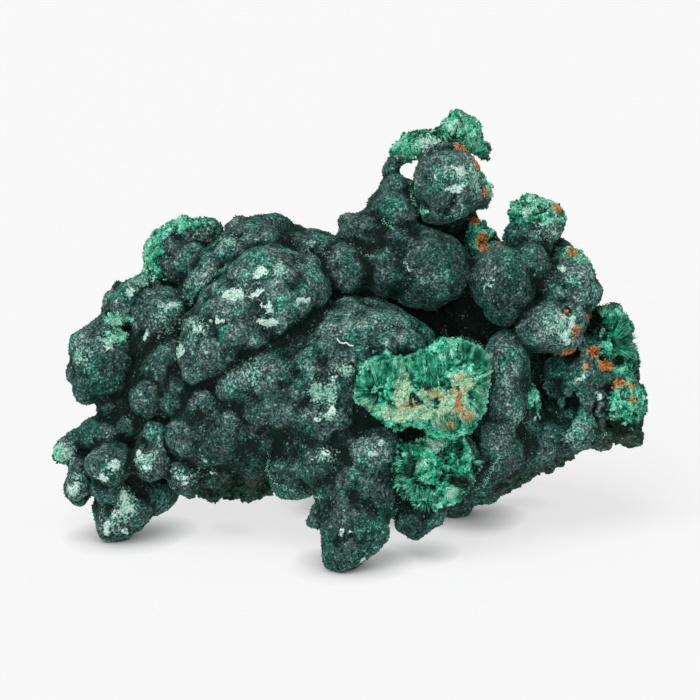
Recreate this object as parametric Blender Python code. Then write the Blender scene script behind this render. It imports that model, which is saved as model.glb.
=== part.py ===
"""A hand-sized specimen of botryoidal ("grape cluster") malachite, 100 mm across, on four small feet.

The stone grew as one piece, so it is one solid: swollen lobes fused to each other, a snapped-off stub that
shows its flat broken face, ledges and shards where the crust was split, and small knobs along the rims.

The forms are laid out on the specimen's display face, which leans back from the vertical.  A place on that
face is (across, up, proud) in millimetres: to the right, up along the face, and out of it.
"""

import math
import random

import bmesh
import bpy
from mathutils import Matrix, Vector, noise

MM = 0.001
FACE_LEAN = math.radians(15)  # the display face leans back this far
GROW_VOXEL = 0.75 * MM  # cell of the grid on which the lobes fuse
BLEND_ROUNDS = 4  # rounds of smoothing that let the lobes of one mass flow together
BLEND_FACTOR = 0.5
TRIANGLES_BEFORE_CUT = 9600
LUMPS = ((6.0 * MM, 0.7 * MM), (3.0 * MM, 0.4 * MM))  # how far apart the soft lumps are, and how high
BALL_SUBDIVISIONS = 4
SHARD_SUBDIVISIONS = 1
SHARD_STRETCH = ((0.7, 1.1), (0.7, 1.1), (0.8, 1.1))  # least and most of a shard's size along its axes
SHARD_TILT = 0.6  # radians either way
GROUND_SIZE = (200 * MM, 200 * MM, 40 * MM)
TO_ORIGIN = (0.25 * MM, -7.2 * MM, 0.0)  # brings the middle of the box to X = Y = 0
BASE_GREEN = (0.02, 0.09, 0.07, 1)
ROUGHNESS = 0.85

# A lobe: across, up, proud, then half its width, height and depth, then its turn on the face in degrees.
# The lobes of one mass flow together.  Masses meet in sharp creases.
MASSES = {
    "left_lobe": {
        "body": (-42.0, 30.4, 1, 6.2, 7.3, 8, 0),
        "chin": (-44.4, 26.2, 2, 3.0, 3.1, 4, 0),
        "ear": (-47.3, 28.2, 1, 1.9, 2.4, 2.8, 10),
        "brow": (-43.9, 33.9, 1, 3.0, 3.0, 4, 0),
        "crest": (-41.8, 35.6, 0, 4.0, 2.6, 5, 15),
    },
    "left_neck": {"neck": (-39.6, 22.0, -1, 4.2, 5.0, 6, 0)},
    "block_knob": {
        "body": (-38.9, 40.0, 0, 3.0, 3.4, 5, 0),
        "top": (-37.4, 42.1, -2, 3.3, 2.3, 5, 25),
        "back": (-34.5, 41.5, -4, 3.6, 4.6, 6, 0),
    },
    "block_ledge": {"ledge": (-40.4, 37.0, 1.6, 2.9, 0.9, 4.0, -4)},
    "upper_dome": {
        "dome": (-32.4, 38.0, 2, 5.3, 4.9, 7, 0),
        "foot": (-34.4, 33.4, 1, 3.8, 4.4, 6, 0),
    },
    "peak_knob": {
        "knob": (-31.2, 48.2, -3, 4.5, 5.0, 6, -15),
        "top": (-28.6, 51.7, -4, 4.6, 2.9, 5, 8),
        "tip": (-24.6, 52.2, -4, 2.5, 2.5, 4, 0),
    },
    "peak_knob_chin": {"chin": (-28.4, 46.6, -0.5, 4.4, 3.6, 6, 5)},
    "peak_knob_web": {"web": (-23.8, 49.8, -6, 2.4, 2.4, 4, 40)},
    "ridge_lobe": {
        "lobe": (-25.2, 44.2, 1, 6.4, 3.3, 7, 58),
        "foot": (-28.2, 40.2, 0, 2.6, 3.2, 6, -20),
    },
    "mid_fold": {
        "fold": (-32.0, 29.2, 3, 4.4, 6.4, 6.5, -15),
        "low": (-29.9, 24.8, 4.5, 3.7, 4.8, 6, -12),
    },
    "mid_knob": {
        "knob": (-34.9, 23.9, 4.5, 3.0, 4.0, 5.5, -15),
        "top": (-35.6, 27.6, 2.5, 2.2, 3.2, 4.6, -10),
    },
    "small_dome": {
        "dome": (-37.9, 19.6, 3.5, 2.6, 2.8, 4, 0),
        "link": (-36.0, 19.4, 1, 4.6, 4.2, 6, 20),
    },
    "nub": {
        "shoulder": (-42.1, 17.8, 1.4, 4.7, 3.5, 6, 0),
        "nub": (-47.6, 15.8, 0, 3.3, 2.4, 4, 42),
        "tip": (-48.9, 14.5, 0, 1.8, 1.7, 3, 10),
    },
    "bright_knob": {"knob": (-40.9, 12.9, 6.6, 4.2, 4.0, 5, 0)},
    "side_knob": {
        "knob": (-34.2, 13.3, 6, 3.7, 3.6, 5, 10),
        "top": (-33.6, 17.4, 4, 3.5, 3.4, 5.5, 0),
    },
    "toe": {
        "toe": (-46.6, 8.4, 2, 2.1, 2.8, 4, 5),
        "link": (-45.8, 11.8, 1, 2.6, 3.0, 4, 0),
    },
    "left_foot": {
        "foot": (-40.1, 4.3, 1, 4.4, 4.8, 5, 0),
        "top": (-41.0, 8.2, 3, 3.5, 2.8, 5, 0),
        "side": (-37.2, 4.4, 1, 3.1, 3.7, 5, -20),
    },
    "left_brace": {
        "brace": (-34.5, 7.8, -3, 6.0, 4.0, 6, 25),
        "high": (-36.5, 13.0, -3, 6.5, 5.0, 7, 0),
    },
    "long_lobe": {
        "lobe": (-20.8, 18.8, 6, 9.8, 6.8, 8.5, 14),
        "end": (-27.6, 17.6, 7.6, 4.1, 4.2, 5.6, 0),
        "top": (-25.2, 22.8, 6.4, 5.2, 3.8, 5.8, 50),
        "low": (-16.6, 15.2, 5.6, 6.0, 5.0, 7, -10),
        "bridge": (-15.0, 18.6, 5.5, 6.0, 5.6, 8.8, 0),
        "belly": (-20.7, 11.8, -2, 9.7, 4.6, 8, 0),
    },
    "speckled_lobe": {
        "left": (-28.1, 11.1, 4.5, 3.7, 3.5, 5, -35),
        "right": (-23.4, 11.4, 4, 3.9, 3.3, 5.5, 0),
    },
    "dome": {
        "middle": (0.6, 28.6, 5, 13.8, 12.6, 14, 0),
        "left": (-6.4, 28.4, 5, 10.5, 9.6, 12.8, 35),
        "right": (7.0, 32.0, 4, 7.5, 6.6, 12, -30),
        "finger": (-13.6, 27.6, 8, 9.8, 6.0, 9.8, 25),
        "finger_end": (-18.7, 26.2, 10.0, 4.8, 4.8, 5.8, 0),
        "low_left": (-12.4, 22.8, 8.0, 8.4, 7.4, 9.6, 0),
        "web": (-9.6, 25.4, 8.2, 5.6, 4.4, 9.4, 0),
        "skirt": (-4.5, 19.8, 6.4, 9.6, 8.0, 12.2, 0),
        "apron": (-1.2, 17.4, 9.0, 5.0, 4.2, 8.8, 0),
        "bridge": (-15.6, 19.0, 5.5, 5.4, 5.4, 8.6, 0),
        "rim": (-9.4, 12.6, 6, 5.7, 6.2, 8.6, -20),
        "rim_top": (-7.6, 16.8, 7, 6.4, 5.0, 9.4, 0),
        "knee_left": (-5.2, 14.2, 12.4, 5.1, 5.0, 6.5, 0),
        "knee_right": (3.4, 14.0, 13, 5.5, 5.6, 7, 0),
        "thigh": (0.6, 8.4, 13.4, 7.3, 7.4, 7, 0),
        "shin": (0.1, 3.0, 15.0, 5.8, 6.0, 6.2, 0),
        "sole": (-1.9, -1.4, 16.2, 3.4, 4.2, 4.7, -10),
        "heel": (0.4, 0.2, 15.2, 2.7, 3.4, 4.5, 30),
    },
    "foot_spur": {
        "spur": (-6.1, 3.6, 12.4, 2.2, 1.6, 3.0, 20),
        "link": (-4.6, 4.6, 12.4, 2.9, 2.9, 4.0, 0),
    },
    "cheek": {
        "nose": (-9.5, 41.6, 8.4, 5.7, 7.2, 7.4, -6),
        "middle": (-14.2, 40.9, 8, 8.8, 9.2, 9.2, 12),
        "low": (-18.8, 37.0, 8, 7.8, 8.0, 9.0, 36),
        "lower": (-22.8, 32.8, 8, 5.8, 6.4, 8.0, 34),
        "tip": (-25.8, 30.8, 7.6, 3.7, 4.9, 6.4, -8),
        "bump": (-26.2, 36.0, 6.6, 2.7, 3.0, 5.0, 0),
    },
    "brow": {
        "middle": (-16.2, 49.0, 1, 5.9, 5.7, 8, 0),
        "left": (-19.6, 47.3, 2, 4.1, 5.4, 7, 20),
        "knob": (-19.8, 53.1, -1, 2.1, 1.8, 3.2, 20),
        "top": (-14.2, 53.0, -1, 3.8, 2.4, 5, 0),
        "saddle": (-6.6, 47.8, -1, 6.2, 4.8, 8, -8),
        "crest": (-4.8, 50.7, -3, 4.2, 1.7, 4, -5),
        "crest_left": (-9.4, 51.3, -3, 3.4, 1.7, 4, -8),
    },
    "breast": {
        "right": (12.6, 45.8, 5.6, 7.5, 6.7, 8.2, 0),
        "left": (6.6, 46.0, 5, 5.6, 5.2, 7.2, 0),
        "saddle_end": (-0.6, 45.8, 3, 6.0, 4.7, 7, 0),
    },
    "shoulder": {
        "band": (7.8, 50.6, 2.4, 8.0, 3.6, 6.8, 0),
        "left": (2.8, 52.6, 1, 5.4, 3.6, 6, 14),
        "tip": (-1.0, 53.4, 0, 2.0, 2.1, 4, 0),
        "high": (7.2, 55.2, 2, 4.7, 4.1, 6, 30),
        "bump": (6.6, 57.4, 3.4, 2.3, 2.0, 3.4, 0),
        "spur": (4.3, 57.2, -1, 1.5, 2.0, 3, -20),
        "pillar": (7.2, 59.3, 0, 3.2, 3.1, 4, 0),
        "pillar_right": (9.6, 57.8, -1, 2.8, 3.8, 5, 0),
    },
    "arch": {
        "left": (6.6, 63.4, -1, 1.8, 2.8, 2.8, -24),
        "top": (9.8, 66.2, -1, 3.6, 2.3, 3.2, 20),
        "right": (12.4, 67.2, 0, 3.1, 2.3, 3.6, 10),
        "brim": (15.2, 65.2, 3, 4.3, 2.7, 5, -5),
    },
    "crown": {
        "peak": (18.0, 69.0, 0, 3.3, 3.3, 4, -20),
        "left": (15.4, 67.8, 0, 2.6, 2.3, 4, 30),
        "right": (20.3, 67.8, -1, 2.0, 2.5, 3.5, 0),
        "horn": (22.0, 66.2, -2, 1.6, 1.9, 2.7, 0),
    },
    "head": {
        "ball": (15.9, 60.4, 5.6, 6.1, 6.3, 7, 0),
        "right": (20.4, 58.6, 4, 3.1, 3.1, 5, 0),
        "jaw": (15.6, 56.0, 7, 4.2, 2.6, 4.6, 10),
    },
    "chin": {
        "middle": (25.6, 43.6, 6.6, 6.1, 6.5, 7.6, 8),
        "left": (22.6, 44.0, 5.6, 3.3, 4.9, 6, 0),
        "bottom": (25.0, 39.6, 7.4, 3.8, 3.1, 5.4, -10),
        "top": (29.0, 46.2, 4.6, 4.7, 4.9, 7, 0),
    },
    "horn": {
        "neck": (29.8, 50.4, 1.6, 4.1, 4.6, 5.5, 8),
        "middle": (31.6, 53.8, 0.6, 4.6, 4.0, 5, -25),
        "peak": (29.8, 56.2, 0, 2.3, 2.6, 3.6, -20),
        "right": (34.4, 53.3, 0, 2.0, 2.6, 3.6, 0),
    },
    "horn_shade": {"ball": (33.9, 48.6, -2.4, 2.4, 2.9, 4, 0)},
    "right_cheek": {
        "middle": (36.5, 43.0, 2.6, 4.8, 5.4, 6.6, -10),
        "top": (36.8, 47.1, 0, 2.8, 2.2, 4, -30),
        "left": (33.8, 42.2, 3.6, 3.6, 4.2, 6, 30),
        "low_right": (39.3, 41.4, 1, 3.1, 3.2, 5, 0),
    },
    "ear_lobe": {
        "left": (32.4, 36.0, 7.6, 5.0, 4.5, 6, 18),
        "low": (34.6, 34.2, 7, 3.9, 3.1, 5, 20),
        "right": (36.4, 37.4, 5, 2.9, 3.1, 5, 30),
    },
    "dark_lobe": {
        "top": (25.6, 29.0, 6.4, 4.6, 6.2, 7.0, 0),
        "middle": (25.4, 23.0, 7.0, 5.0, 6.0, 7.0, 0),
        "low": (23.8, 16.6, 7.2, 5.6, 6.4, 7, 14),
        "foot": (21.6, 11.8, 6, 3.6, 4.3, 6, -20),
        "side": (28.6, 19.4, 3.8, 4.4, 5.0, 6.8, 25),
        "slope": (30.6, 16.6, 2.6, 5.2, 4.2, 6.4, 30),
        "slope_end": (35.4, 17.4, 0.6, 4.6, 3.2, 6.0, 18),
    },
    "side_knob_right": {
        "knob": (38.0, 28.0, 3, 3.6, 2.7, 5, 0),
        "left": (35.2, 28.6, 1.4, 2.4, 2.8, 5, 0),
        "right": (41.6, 27.0, 2, 2.6, 2.0, 4, 0),
    },
    "green_crystal": {"crystal": (30.3, 23.7, 6.4, 1.7, 2.3, 3.0, 20)},
    "grey_lobe": {
        "front": (38.4, 17.8, 3, 2.6, 3.6, 5, -20),
        "back": (35.0, 19.6, -2, 4.4, 4.4, 7, 0),
    },
    "back_great": {
        "great": (6, 35, -18, 10.5, 9.5, 8.5, 0),
        "upper": (-6.5, 42, -14, 7.5, 6.8, 7, 20),
        "knob": (-3.5, 31, -21.5, 3.6, 3.4, 3.8, 0),
    },
    "back_left": {
        "high": (-17, 33.5, -18.5, 7.6, 7.0, 7, 0),
        "low": (-13, 22, -18.5, 6.6, 5.8, 6.5, -15),
    },
    "back_far_left": {
        "middle": (-29, 27.5, -14.5, 6.4, 7.4, 6, 0),
        "end": (-37.5, 31, -9.5, 4.8, 5.6, 5, 0),
    },
    "back_left_top": {"lobe": (-24.5, 41, -12, 5.6, 5.4, 5, 0)},
    "back_left_toe": {"lobe": (-38.5, 18, -8, 4.4, 4.4, 4.4, 0)},
    "back_right": {
        "top": (17.5, 42, -12, 6.0, 6.4, 6, 0),
        "horn": (28.5, 45, -8.5, 4.8, 5.4, 5, 0),
    },
    "back_head": {"lobe": (13.5, 55, -5, 4.2, 6.2, 4.6, 0)},
}

# Plain rock under and between the masses, in sharp meetings.
BEDROCK = {
    "far_left": (-34.5, 27, -5.5, 8.0, 12, 8, 0),
    "left_foot": (-38.5, 12, -2.5, 7.0, 7.5, 6.5, 0),
    "left_top": (-27.5, 42.5, -6, 7.0, 8.0, 7, 0),
    "left": (-21, 29, -9, 17, 16, 13, 8),
    "brow": (-12, 44, -7, 13, 8.5, 9, 0),
    "middle": (4, 27, -9, 23, 18, 15, 0),
    "right": (26, 27, -10, 15, 13, 12, 0),
    "behind_stub": (15.5, 21, 3.5, 7.5, 9, 6, 0),
    "far_right": (38.5, 27.5, -6, 8.5, 11.0, 8, 0),
    "top": (9, 45, -6, 11, 9.5, 9, 0),
    "top_right": (26, 40, -5, 12, 11, 8, 0),
    "behind_horn": (34.5, 45, -3, 5.5, 6.5, 6, 0),
    "low": (8, 15, -9, 12, 8, 12, 0),
    "neck": (14.0, 54.6, -3, 7.0, 4.6, 5.5, 0),
    "pocket_ridge": (22.2, 49.8, -1, 2.8, 3.2, 4.5, 15),
    "pocket_ridge_top": (20.6, 52.6, -2, 2.0, 2.3, 3.5, 30),
    "pocket_floor": (18.6, 51.0, -4, 4.2, 4.2, 4, 0),
    "broken_top": (43.3, 35.3, -3, 4.5, 4.1, 6, 0),
    "broken_notch": (42.4, 37.4, -4, 2.2, 2.6, 4, 0),
    "broken_peak": (44.6, 38.0, -3, 1.6, 2.4, 3, 10),
    "broken_side": (45.7, 31.5, -2.5, 2.9, 4.3, 5, 15),
    "broken_low": (45.4, 23.6, 0, 4.4, 3.6, 6, 0),
    "broken_corner": (48.0, 22.0, -1, 2.1, 4.0, 4, -5),
    "brown_nub": (48.1, 30.3, -1, 0.9, 1.0, 1.6, 0),
    "brown_ledge": (46.4, 17.8, -2, 3.2, 1.9, 5, -15),
    "striped_block": (42.1, 16.9, 1.4, 2.2, 2.4, 3.4, 0),
    "green_wall": (36.8, 22.4, -2, 5.4, 4.6, 4.8, 0),
    "right_belly": (34.0, 25.0, -7, 8.6, 7.6, 8, 20),
    "right_keel": (24.6, 12.8, -5, 9.0, 5.2, 8, 31),
    "right_back_foot": (17.2, 7.3, -13.5, 4.6, 4.2, 4.6, 0),
    "right_back_foot_side": (21.6, 9.2, -11, 4.8, 3.7, 5.5, 20),
    "hidden_back_foot": (1.5, 9.4, -19.5, 5.4, 4.6, 5.2, 0),
    "hidden_back_thigh": (2.5, 15, -16, 8, 7, 8, 0),
    "split_low_middle": (-4, 20, -15, 15, 9, 9, -12),
    "split_right": (26, 25, -14, 12, 10.5, 8.5, 15),
    "split_low_right": (34.4, 17.9, -6, 6.6, 4.3, 8, 22),
    "split_far_right": (39, 27.5, -8, 7.8, 10.0, 6.5, 0),
    "hanging_foot_root": (11.5, 8.2, 9, 4.8, 4.0, 6.5, 0),
}

# The snapped-off stub: the outline of its broken face, clockwise from the lower left, as (across, up).
STUB_OUTLINE = (
    (0.2, 23.6), (0.0, 26.0), (1.6, 29.6), (3.6, 31.0), (7.6, 31.4), (12.2, 31.9), (14.8, 34.0), (18.2, 34.2),
    (21.2, 33.2), (23.2, 31.2), (23.4, 28.6), (22.2, 24.8), (21.4, 21.0), (19.6, 18.5), (16.4, 17.5),
    (12.6, 18.2), (11.6, 19.6), (9.6, 20.2), (7.8, 18.4), (5.6, 19.2), (3.8, 21.2),
)
STUB_HEART = (12.6, 25.4)
STUB_STEPS = ((9, 0.82), (15, 0.86), (19.5, 1.0), (21.6, 0.95), (22.4, 0.6))  # proud, share of the outline
LEDGE_OUTLINE = (
    (7.6, 9.0), (7.4, 14.2), (9.0, 18.5), (14.0, 19.0), (19.0, 18.4), (21.0, 15.0), (20.4, 9.6), (17.6, 6.6),
    (12.0, 6.2), (9.0, 6.9),
)
LEDGE_HEART = (14.0, 12.2)
LEDGE_STEPS = ((4, 0.9), (12, 0.96), (15.6, 1.0), (17.4, 0.86), (18.2, 0.5))
WEDGE_OUTLINE = (
    (7.0, 2.8), (6.8, 5.4), (7.4, 9.6), (15.6, 9.6), (15.2, 5.6), (14.4, 2.8), (12.6, 1.4), (10.8, -0.1),
    (8.8, 1.5),
)
WEDGE_HEART = (11.2, 5.4)
WEDGE_STEPS = ((5, 0.8), (9, 1.0), (12.5, 0.98), (13.8, 0.7))
HANGING_FOOT = {
    "hanging_foot_root": (11.5, 8.2, 9, 4.8, 4.0, 6.5, 0),
}
STUBS = (
    (STUB_OUTLINE, STUB_HEART, STUB_STEPS),
    (LEDGE_OUTLINE, LEDGE_HEART, LEDGE_STEPS),
    (WEDGE_OUTLINE, WEDGE_HEART, WEDGE_STEPS),
)

# Beds of split rock: a bed lobe, how many shards, the half sizes of the smallest and largest, and which
# way they face.
SHARD_BEDS = (
    ((38.8, 27.0, -4, 7.7, 10.4, 8.0, 0), 46, 1.4, 2.6, (0.6, 0.0, 0.5)),
    ((25.6, 24.0, -13, 12.8, 10.8, 9.6, 20), 44, 2.0, 3.8, (0.3, -0.4, -1.0)),
    ((27.6, 14.9, -6, 11.8, 4.9, 8.5, 28), 44, 1.2, 2.1, (0.1, -1.0, 0.2)),
    ((-3, 19, -15, 15.6, 8.8, 9.6, -10), 32, 2.0, 3.8, (0.0, -0.8, -1.0)),
    ((22.0, 50.2, 1, 2.0, 3.2, 3.0, 15), 12, 0.8, 1.4, (0.0, 0.0, 1.0)),
    ((-39.4, 39.8, -1, 2.6, 3.4, 3.0, 0), 10, 1.0, 1.7, (-0.5, 0.4, 0.6)),
    ((-21.0, 9.7, 1, 8.0, 2.0, 3.0, 0), 22, 1.1, 1.8, (0.0, -1.0, 0.6)),
    ((14.0, 11.8, 14.6, 5.6, 5.0, 3.0, 0), 22, 1.2, 2.2, (0.0, 0.0, 1.0)),
    ((18.2, 68.6, 0, 3.0, 2.8, 3.4, 0), 12, 0.9, 1.6, (0.3, 0.6, 0.7)),
    ((31.2, 54.8, 0.6, 3.8, 3.0, 4.0, -20), 12, 0.9, 1.7, (0.0, 0.5, 1.0)),
    ((-30.8, 49.0, -3, 3.4, 3.8, 5.0, 0), 12, 0.9, 1.5, (-0.7, 0.7, 0.6)),
)
SHARD_SEED = 41


def to_specimen():
    """Turns (across, up, proud) on the leaning display face into the specimen's own X, Y and Z."""
    lean, upright = math.sin(FACE_LEAN), math.cos(FACE_LEAN)
    turn = Matrix(((1, 0, 0), (0, lean, -upright), (0, upright, lean))).to_4x4()
    return Matrix.Scale(MM, 4) @ turn


FACE = to_specimen()


def lobe_matrix(lobe):
    across, up, proud, wide, tall, deep, turn = lobe
    place = Matrix.Translation((across, up, proud))
    spin = Matrix.Rotation(math.radians(turn), 4, "Z")
    return place @ spin @ Matrix.Diagonal((wide, tall, deep, 1))


class Pile:
    """Closed shapes thrown together, as one list of points and one of faces."""

    def __init__(self):
        self.points = []
        self.faces = []

    def add(self, points, faces):
        first = len(self.points)
        self.points.extend(points)
        self.faces.extend(tuple(first + corner for corner in face) for face in faces)

    def add_ball(self, ball, matrix):
        points, faces = ball
        self.add([matrix @ point for point in points], faces)

    def add_mesh(self, data):
        points = [vertex.co.copy() for vertex in data.vertices]
        self.add(points, [tuple(face.vertices) for face in data.polygons])

    def as_object(self, name):
        data = bpy.data.meshes.new(name)
        data.from_pydata(self.points, [], self.faces)
        return object_from(data, name)


def unit_ball(subdivisions):
    """The points and faces of an icosphere of radius 1."""
    mesh = bmesh.new()
    bmesh.ops.create_icosphere(mesh, subdivisions=subdivisions, radius=1)
    points = [vertex.co.copy() for vertex in mesh.verts]
    faces = [tuple(vertex.index for vertex in face.verts) for face in mesh.faces]
    mesh.free()
    return points, faces


def clear_scene():
    for thing in list(bpy.data.objects):
        bpy.data.objects.remove(thing)


def object_from(data, name):
    thing = bpy.data.objects.new(name, data)
    bpy.context.scene.collection.objects.link(thing)
    return thing


def evaluated(thing):
    """The object's mesh as its modifiers leave it; the object itself is dropped."""
    graph = bpy.context.evaluated_depsgraph_get()
    data = bpy.data.meshes.new_from_object(thing.evaluated_get(graph))
    bpy.data.objects.remove(thing)
    return data


def fused(thing, blended):
    """One skin round everything that overlaps, its creases smoothed over if the lobes are to be blended."""
    grow = thing.modifiers.new("grow_together", "REMESH")
    grow.mode = "VOXEL"
    grow.voxel_size = GROW_VOXEL
    if blended:
        flow = thing.modifiers.new("flow_together", "SMOOTH")
        flow.factor = BLEND_FACTOR
        flow.iterations = BLEND_ROUNDS
    return evaluated(thing)


def add_stub(pile, outline, heart, steps):
    """A broken-off stalk: rings of its outline, drawn in to its heart as they step forward, with end caps."""
    points = []
    for proud, share in steps:
        for across, up in outline:
            drawn_in = [middle + share * (place - middle) for place, middle in zip((across, up), heart)]
            points.append(FACE @ Vector((*drawn_in, proud)))
    count = len(outline)
    last = count * (len(steps) - 1)
    faces = [tuple(range(count)), tuple(reversed(range(last, last + count)))]
    for ring in range(0, last, count):
        for i in range(count):
            j = (i + 1) % count
            faces.append((ring + i, ring + count + i, ring + count + j, ring + j))
    pile.add(points, faces)


def add_shards(pile, ball, bed, count, smallest, largest, facing, dice):
    """Angular pieces of split rock, half sunk in the side of the bed lobe that faces the given way."""
    facing = Vector(facing).normalized()
    placed = 0
    while placed < count:
        way = Vector((dice.gauss(0, 1), dice.gauss(0, 1), dice.gauss(0, 1))).normalized()
        if way.dot(facing) < 0:
            continue
        size = dice.uniform(smallest, largest)
        stretch = [dice.uniform(least, most) * size for least, most in SHARD_STRETCH]
        spin = Matrix.Rotation(dice.uniform(0, math.tau), 4, "Z")
        lean = way.to_track_quat("Z", "Y").to_matrix().to_4x4()
        tilt = Matrix.Rotation(dice.uniform(-SHARD_TILT, SHARD_TILT), 4, "X")
        seat = Matrix.Translation(lobe_matrix(bed) @ way)
        pile.add_ball(ball, FACE @ seat @ lean @ tilt @ spin @ Matrix.Diagonal((*stretch, 1)))
        placed += 1


def grown_pile():
    """Every mass, with the bedrock, stubs and shards, still overlapping."""
    pile = Pile()
    ball, shard = unit_ball(BALL_SUBDIVISIONS), unit_ball(SHARD_SUBDIVISIONS)
    for name, lobes in MASSES.items():
        mass = Pile()
        for lobe in lobes.values():
            mass.add_ball(ball, FACE @ lobe_matrix(lobe))
        pile.add_mesh(fused(mass.as_object(name), blended=True))
    for lobe in BEDROCK.values():
        pile.add_ball(ball, FACE @ lobe_matrix(lobe))
    for outline, heart, steps in STUBS:
        add_stub(pile, outline, heart, steps)
    dice = random.Random(SHARD_SEED)
    for bed, count, smallest, largest, facing in SHARD_BEDS:
        add_shards(pile, shard, bed, count, smallest, largest, facing, dice)
    return pile


def keep_outer_skin(data):
    """Drops the skins of hollows sealed inside the stone."""
    mesh = bmesh.new()
    mesh.from_mesh(data)
    unseen = set(mesh.verts)
    skins = []
    while unseen:
        edge_of_skin = [unseen.pop()]
        skin = list(edge_of_skin)
        while edge_of_skin:
            vertex = edge_of_skin.pop()
            for edge in vertex.link_edges:
                other = edge.other_vert(vertex)
                if other in unseen:
                    unseen.remove(other)
                    skin.append(other)
                    edge_of_skin.append(other)
        skins.append(skin)
    skins.sort(key=len)
    inner = [vertex for skin in skins[:-1] for vertex in skin]
    bmesh.ops.delete(mesh, geom=inner, context="VERTS")
    mesh.to_mesh(data)
    mesh.free()


def weather(data):
    """Soft lumps a few millimetres across over every lobe."""
    mesh = bmesh.new()
    mesh.from_mesh(data)
    mesh.normal_update()
    for vertex in mesh.verts:
        swell = 0.0
        for wave, height in LUMPS:
            swell += height * noise.noise(vertex.co / wave)
        vertex.co += vertex.normal * swell
    mesh.to_mesh(data)
    mesh.free()


def simplify(thing):
    """Flat facets, small where the stone curves tightly."""
    facets = thing.modifiers.new("facets", "DECIMATE")
    thing.data.calc_loop_triangles()
    facets.ratio = TRIANGLES_BEFORE_CUT / len(thing.data.loop_triangles)
    facets.use_collapse_triangulate = True


def stand_on_ground(thing):
    """Cuts the feet flat on the plane the specimen stands on."""
    mesh = bmesh.new()
    place = Matrix.Translation((0, 0, -GROUND_SIZE[2] / 2)) @ Matrix.Diagonal((*GROUND_SIZE, 1))
    bmesh.ops.create_cube(mesh, size=1, matrix=place)
    data = bpy.data.meshes.new("ground_cutter")
    mesh.to_mesh(data)
    mesh.free()
    ground = object_from(data, "ground_cutter")
    ground.hide_render = True
    ground.display_type = "WIRE"
    flat = thing.modifiers.new("flat_feet", "BOOLEAN")
    flat.operation = "DIFFERENCE"
    flat.solver = "EXACT"
    flat.object = ground


def paint(thing):
    stone = bpy.data.materials.new("malachite_specimen")
    stone.use_nodes = True
    surface = stone.node_tree.nodes["Principled BSDF"]
    surface.inputs["Base Color"].default_value = BASE_GREEN
    surface.inputs["Roughness"].default_value = ROUGHNESS
    thing.data.materials.clear()
    thing.data.materials.append(stone)


def build():
    clear_scene()
    data = fused(grown_pile().as_object("grown"), blended=False)
    keep_outer_skin(data)
    weather(data)
    data.transform(Matrix.Translation(TO_ORIGIN))
    specimen = object_from(data, "malachite_specimen")
    simplify(specimen)
    stand_on_ground(specimen)
    paint(specimen)


if __name__ == "__main__":
    build()
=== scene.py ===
"""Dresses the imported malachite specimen: velvet lobes, fibrous broken faces, pale bloom, rusty crusts.

The stone is laid out on its display face, which leans back from the vertical.  A place on that face is
(across, up, proud) in millimetres: to the right, up along the face, and out of it.
"""

import math
import random

import bmesh
import bpy
import numpy as np
from mathutils import Matrix, Vector, noise
from mathutils.bvhtree import BVHTree


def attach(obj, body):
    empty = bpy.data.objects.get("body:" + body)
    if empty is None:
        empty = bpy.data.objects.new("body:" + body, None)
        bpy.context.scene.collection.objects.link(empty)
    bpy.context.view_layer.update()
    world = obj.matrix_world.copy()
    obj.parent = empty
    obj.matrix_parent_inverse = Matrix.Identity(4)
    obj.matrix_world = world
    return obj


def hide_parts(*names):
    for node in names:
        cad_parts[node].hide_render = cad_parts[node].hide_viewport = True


MM = 0.001
NODE = "malachite_specimen"
FACE_LEAN = math.radians(15)  # the display face leans back this far
TO_ORIGIN = (0.25 * MM, -7.2 * MM, 0.0)
LUMPS = ((6.0, 0.7), (3.0, 0.4))  # how far apart the soft lumps are, and how high, in millimetres
BODY_VOXEL = 0.42 * MM
BLEND_REACH = 1.5 * MM  # how far smoothing carries the lobes of one mass into each other
BLEND_FACTOR = 0.5
BODY_TRIANGLES = 196000
BALL_SUBDIVISIONS = 4
SHARD_SUBDIVISIONS = 1
SHARD_STRETCH = ((0.7, 1.1), (0.7, 1.1), (0.8, 1.1))  # least and most of a shard's size along its axes
SHARD_TILT = 0.6  # radians either way

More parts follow.
